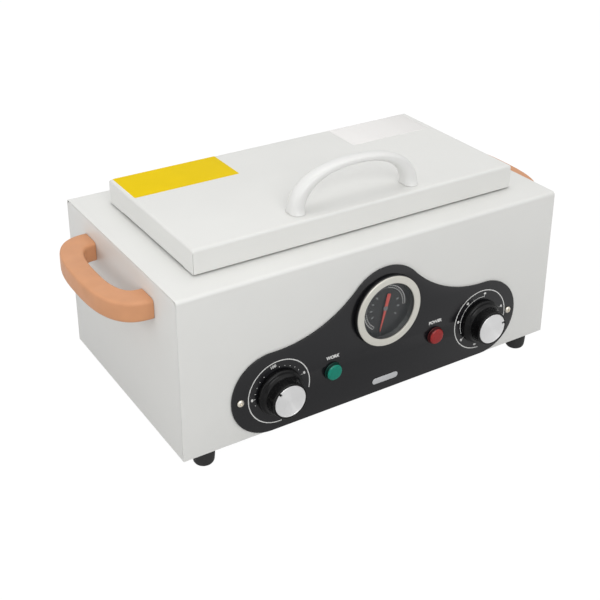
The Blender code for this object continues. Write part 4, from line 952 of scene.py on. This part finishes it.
def make_world():
    """An even fill light that looks white, and brighter towards the top in a reflection."""
    world = bpy.data.worlds.new("studio")
    bpy.context.scene.world = world
    world.use_nodes = True
    nodes, links = world.node_tree.nodes, world.node_tree.links
    fill = nodes["Background"]
    fill.inputs["Color"].default_value = (1, 1, 1, 1)
    fill.inputs["Strength"].default_value = 0.62
    white = new_node(nodes, "Background", Strength=1.0, Color=(1, 1, 1, 1))
    mirrored = nodes.new("ShaderNodeBackground")
    split = nodes.new("ShaderNodeSeparateXYZ")
    links.new(nodes.new("ShaderNodeTexCoord").outputs["Generated"], split.inputs["Vector"])
    rise = new_node(nodes, "MapRange", From_Min=0.0, From_Max=0.7, To_Min=0.35, To_Max=1.6)
    links.new(split.outputs["Z"], rise.inputs["Value"])
    links.new(rise.outputs["Result"], mirrored.inputs["Strength"])
    path = nodes.new("ShaderNodeLightPath").outputs
    seen = greater(nodes, links, path["Is Camera Ray"], path["Is Transmission Ray"])
    filled, reflected, plain = (node.outputs["Background"] for node in (fill, mirrored, white))
    shown = mixed(nodes, links, path["Is Glossy Ray"], filled, reflected)
    shown = mixed(nodes, links, seen, shown, plain)
    links.new(shown, nodes["World Output"].inputs["Surface"])


def make_floor():
    """A pale floor that keeps the shadow, and is darker near the object in a reflection."""

    def fill(bm):
        bmesh.ops.create_grid(bm, x_segments=1, y_segments=1, size=4)

    floor = object_from("floor", fill)
    material = bpy.data.materials.new("pale_floor")
    material.use_nodes = True
    nodes, links = material.node_tree.nodes, material.node_tree.links
    shader = nodes["Principled BSDF"]
    shader.inputs["Base Color"].default_value = (0.54, 0.54, 0.54, 1)
    shader.inputs["Roughness"].default_value = 0.9
    shader.inputs["Specular IOR Level"].default_value = 0.0
    glow = nodes.new("ShaderNodeEmission")
    path = nodes.new("ShaderNodeLightPath").outputs
    share = new_node(nodes, "Math", "MULTIPLY")
    share.inputs[1].default_value = 0.92
    links.new(greater(nodes, links, path["Is Camera Ray"], path["Is Glossy Ray"]), share.inputs[0])
    reach = new_node(nodes, "VectorMath", "LENGTH")
    links.new(nodes.new("ShaderNodeTexCoord").outputs["Object"], reach.inputs[0])
    direct, near = 1.07, 0.48
    fade = new_node(nodes, "MapRange", From_Min=0.12, From_Max=0.50, To_Min=near, To_Max=direct)
    links.new(reach.outputs["Value"], fade.inputs["Value"])
    level = new_node(nodes, "Mix", A=direct)
    links.new(path["Is Glossy Ray"], level.inputs["Factor"])
    links.new(fade.outputs["Result"], level.inputs["B"])
    links.new(level.outputs["Result"], glow.inputs["Strength"])
    shown = mixed(nodes, links, share.outputs["Value"], shader.outputs["BSDF"], glow.outputs["Emission"])
    links.new(shown, nodes["Material Output"].inputs["Surface"])
    floor.data.materials.append(material)


def make_studio():
    make_world()
    make_floor()
    make_light("key", (-0.5, -2.0, 1.5), (1.6, 1.2), 21)
    make_light("side", (-2.2, 0.1, 0.8), (1.4, 1.4), 9.5)
    make_light("top", (0.3, 0.3, 2.4), (1.8, 1.8), 13)
    bpy.context.scene.view_settings.view_transform = "Standard"


make_case()
make_feet()
make_lid()
make_handles()
make_labels()
make_fascia()
make_dials()
make_knobs()
make_lamps()
make_thermometer()
make_prints()
finish_cad_nodes()
make_camera()
make_studio()
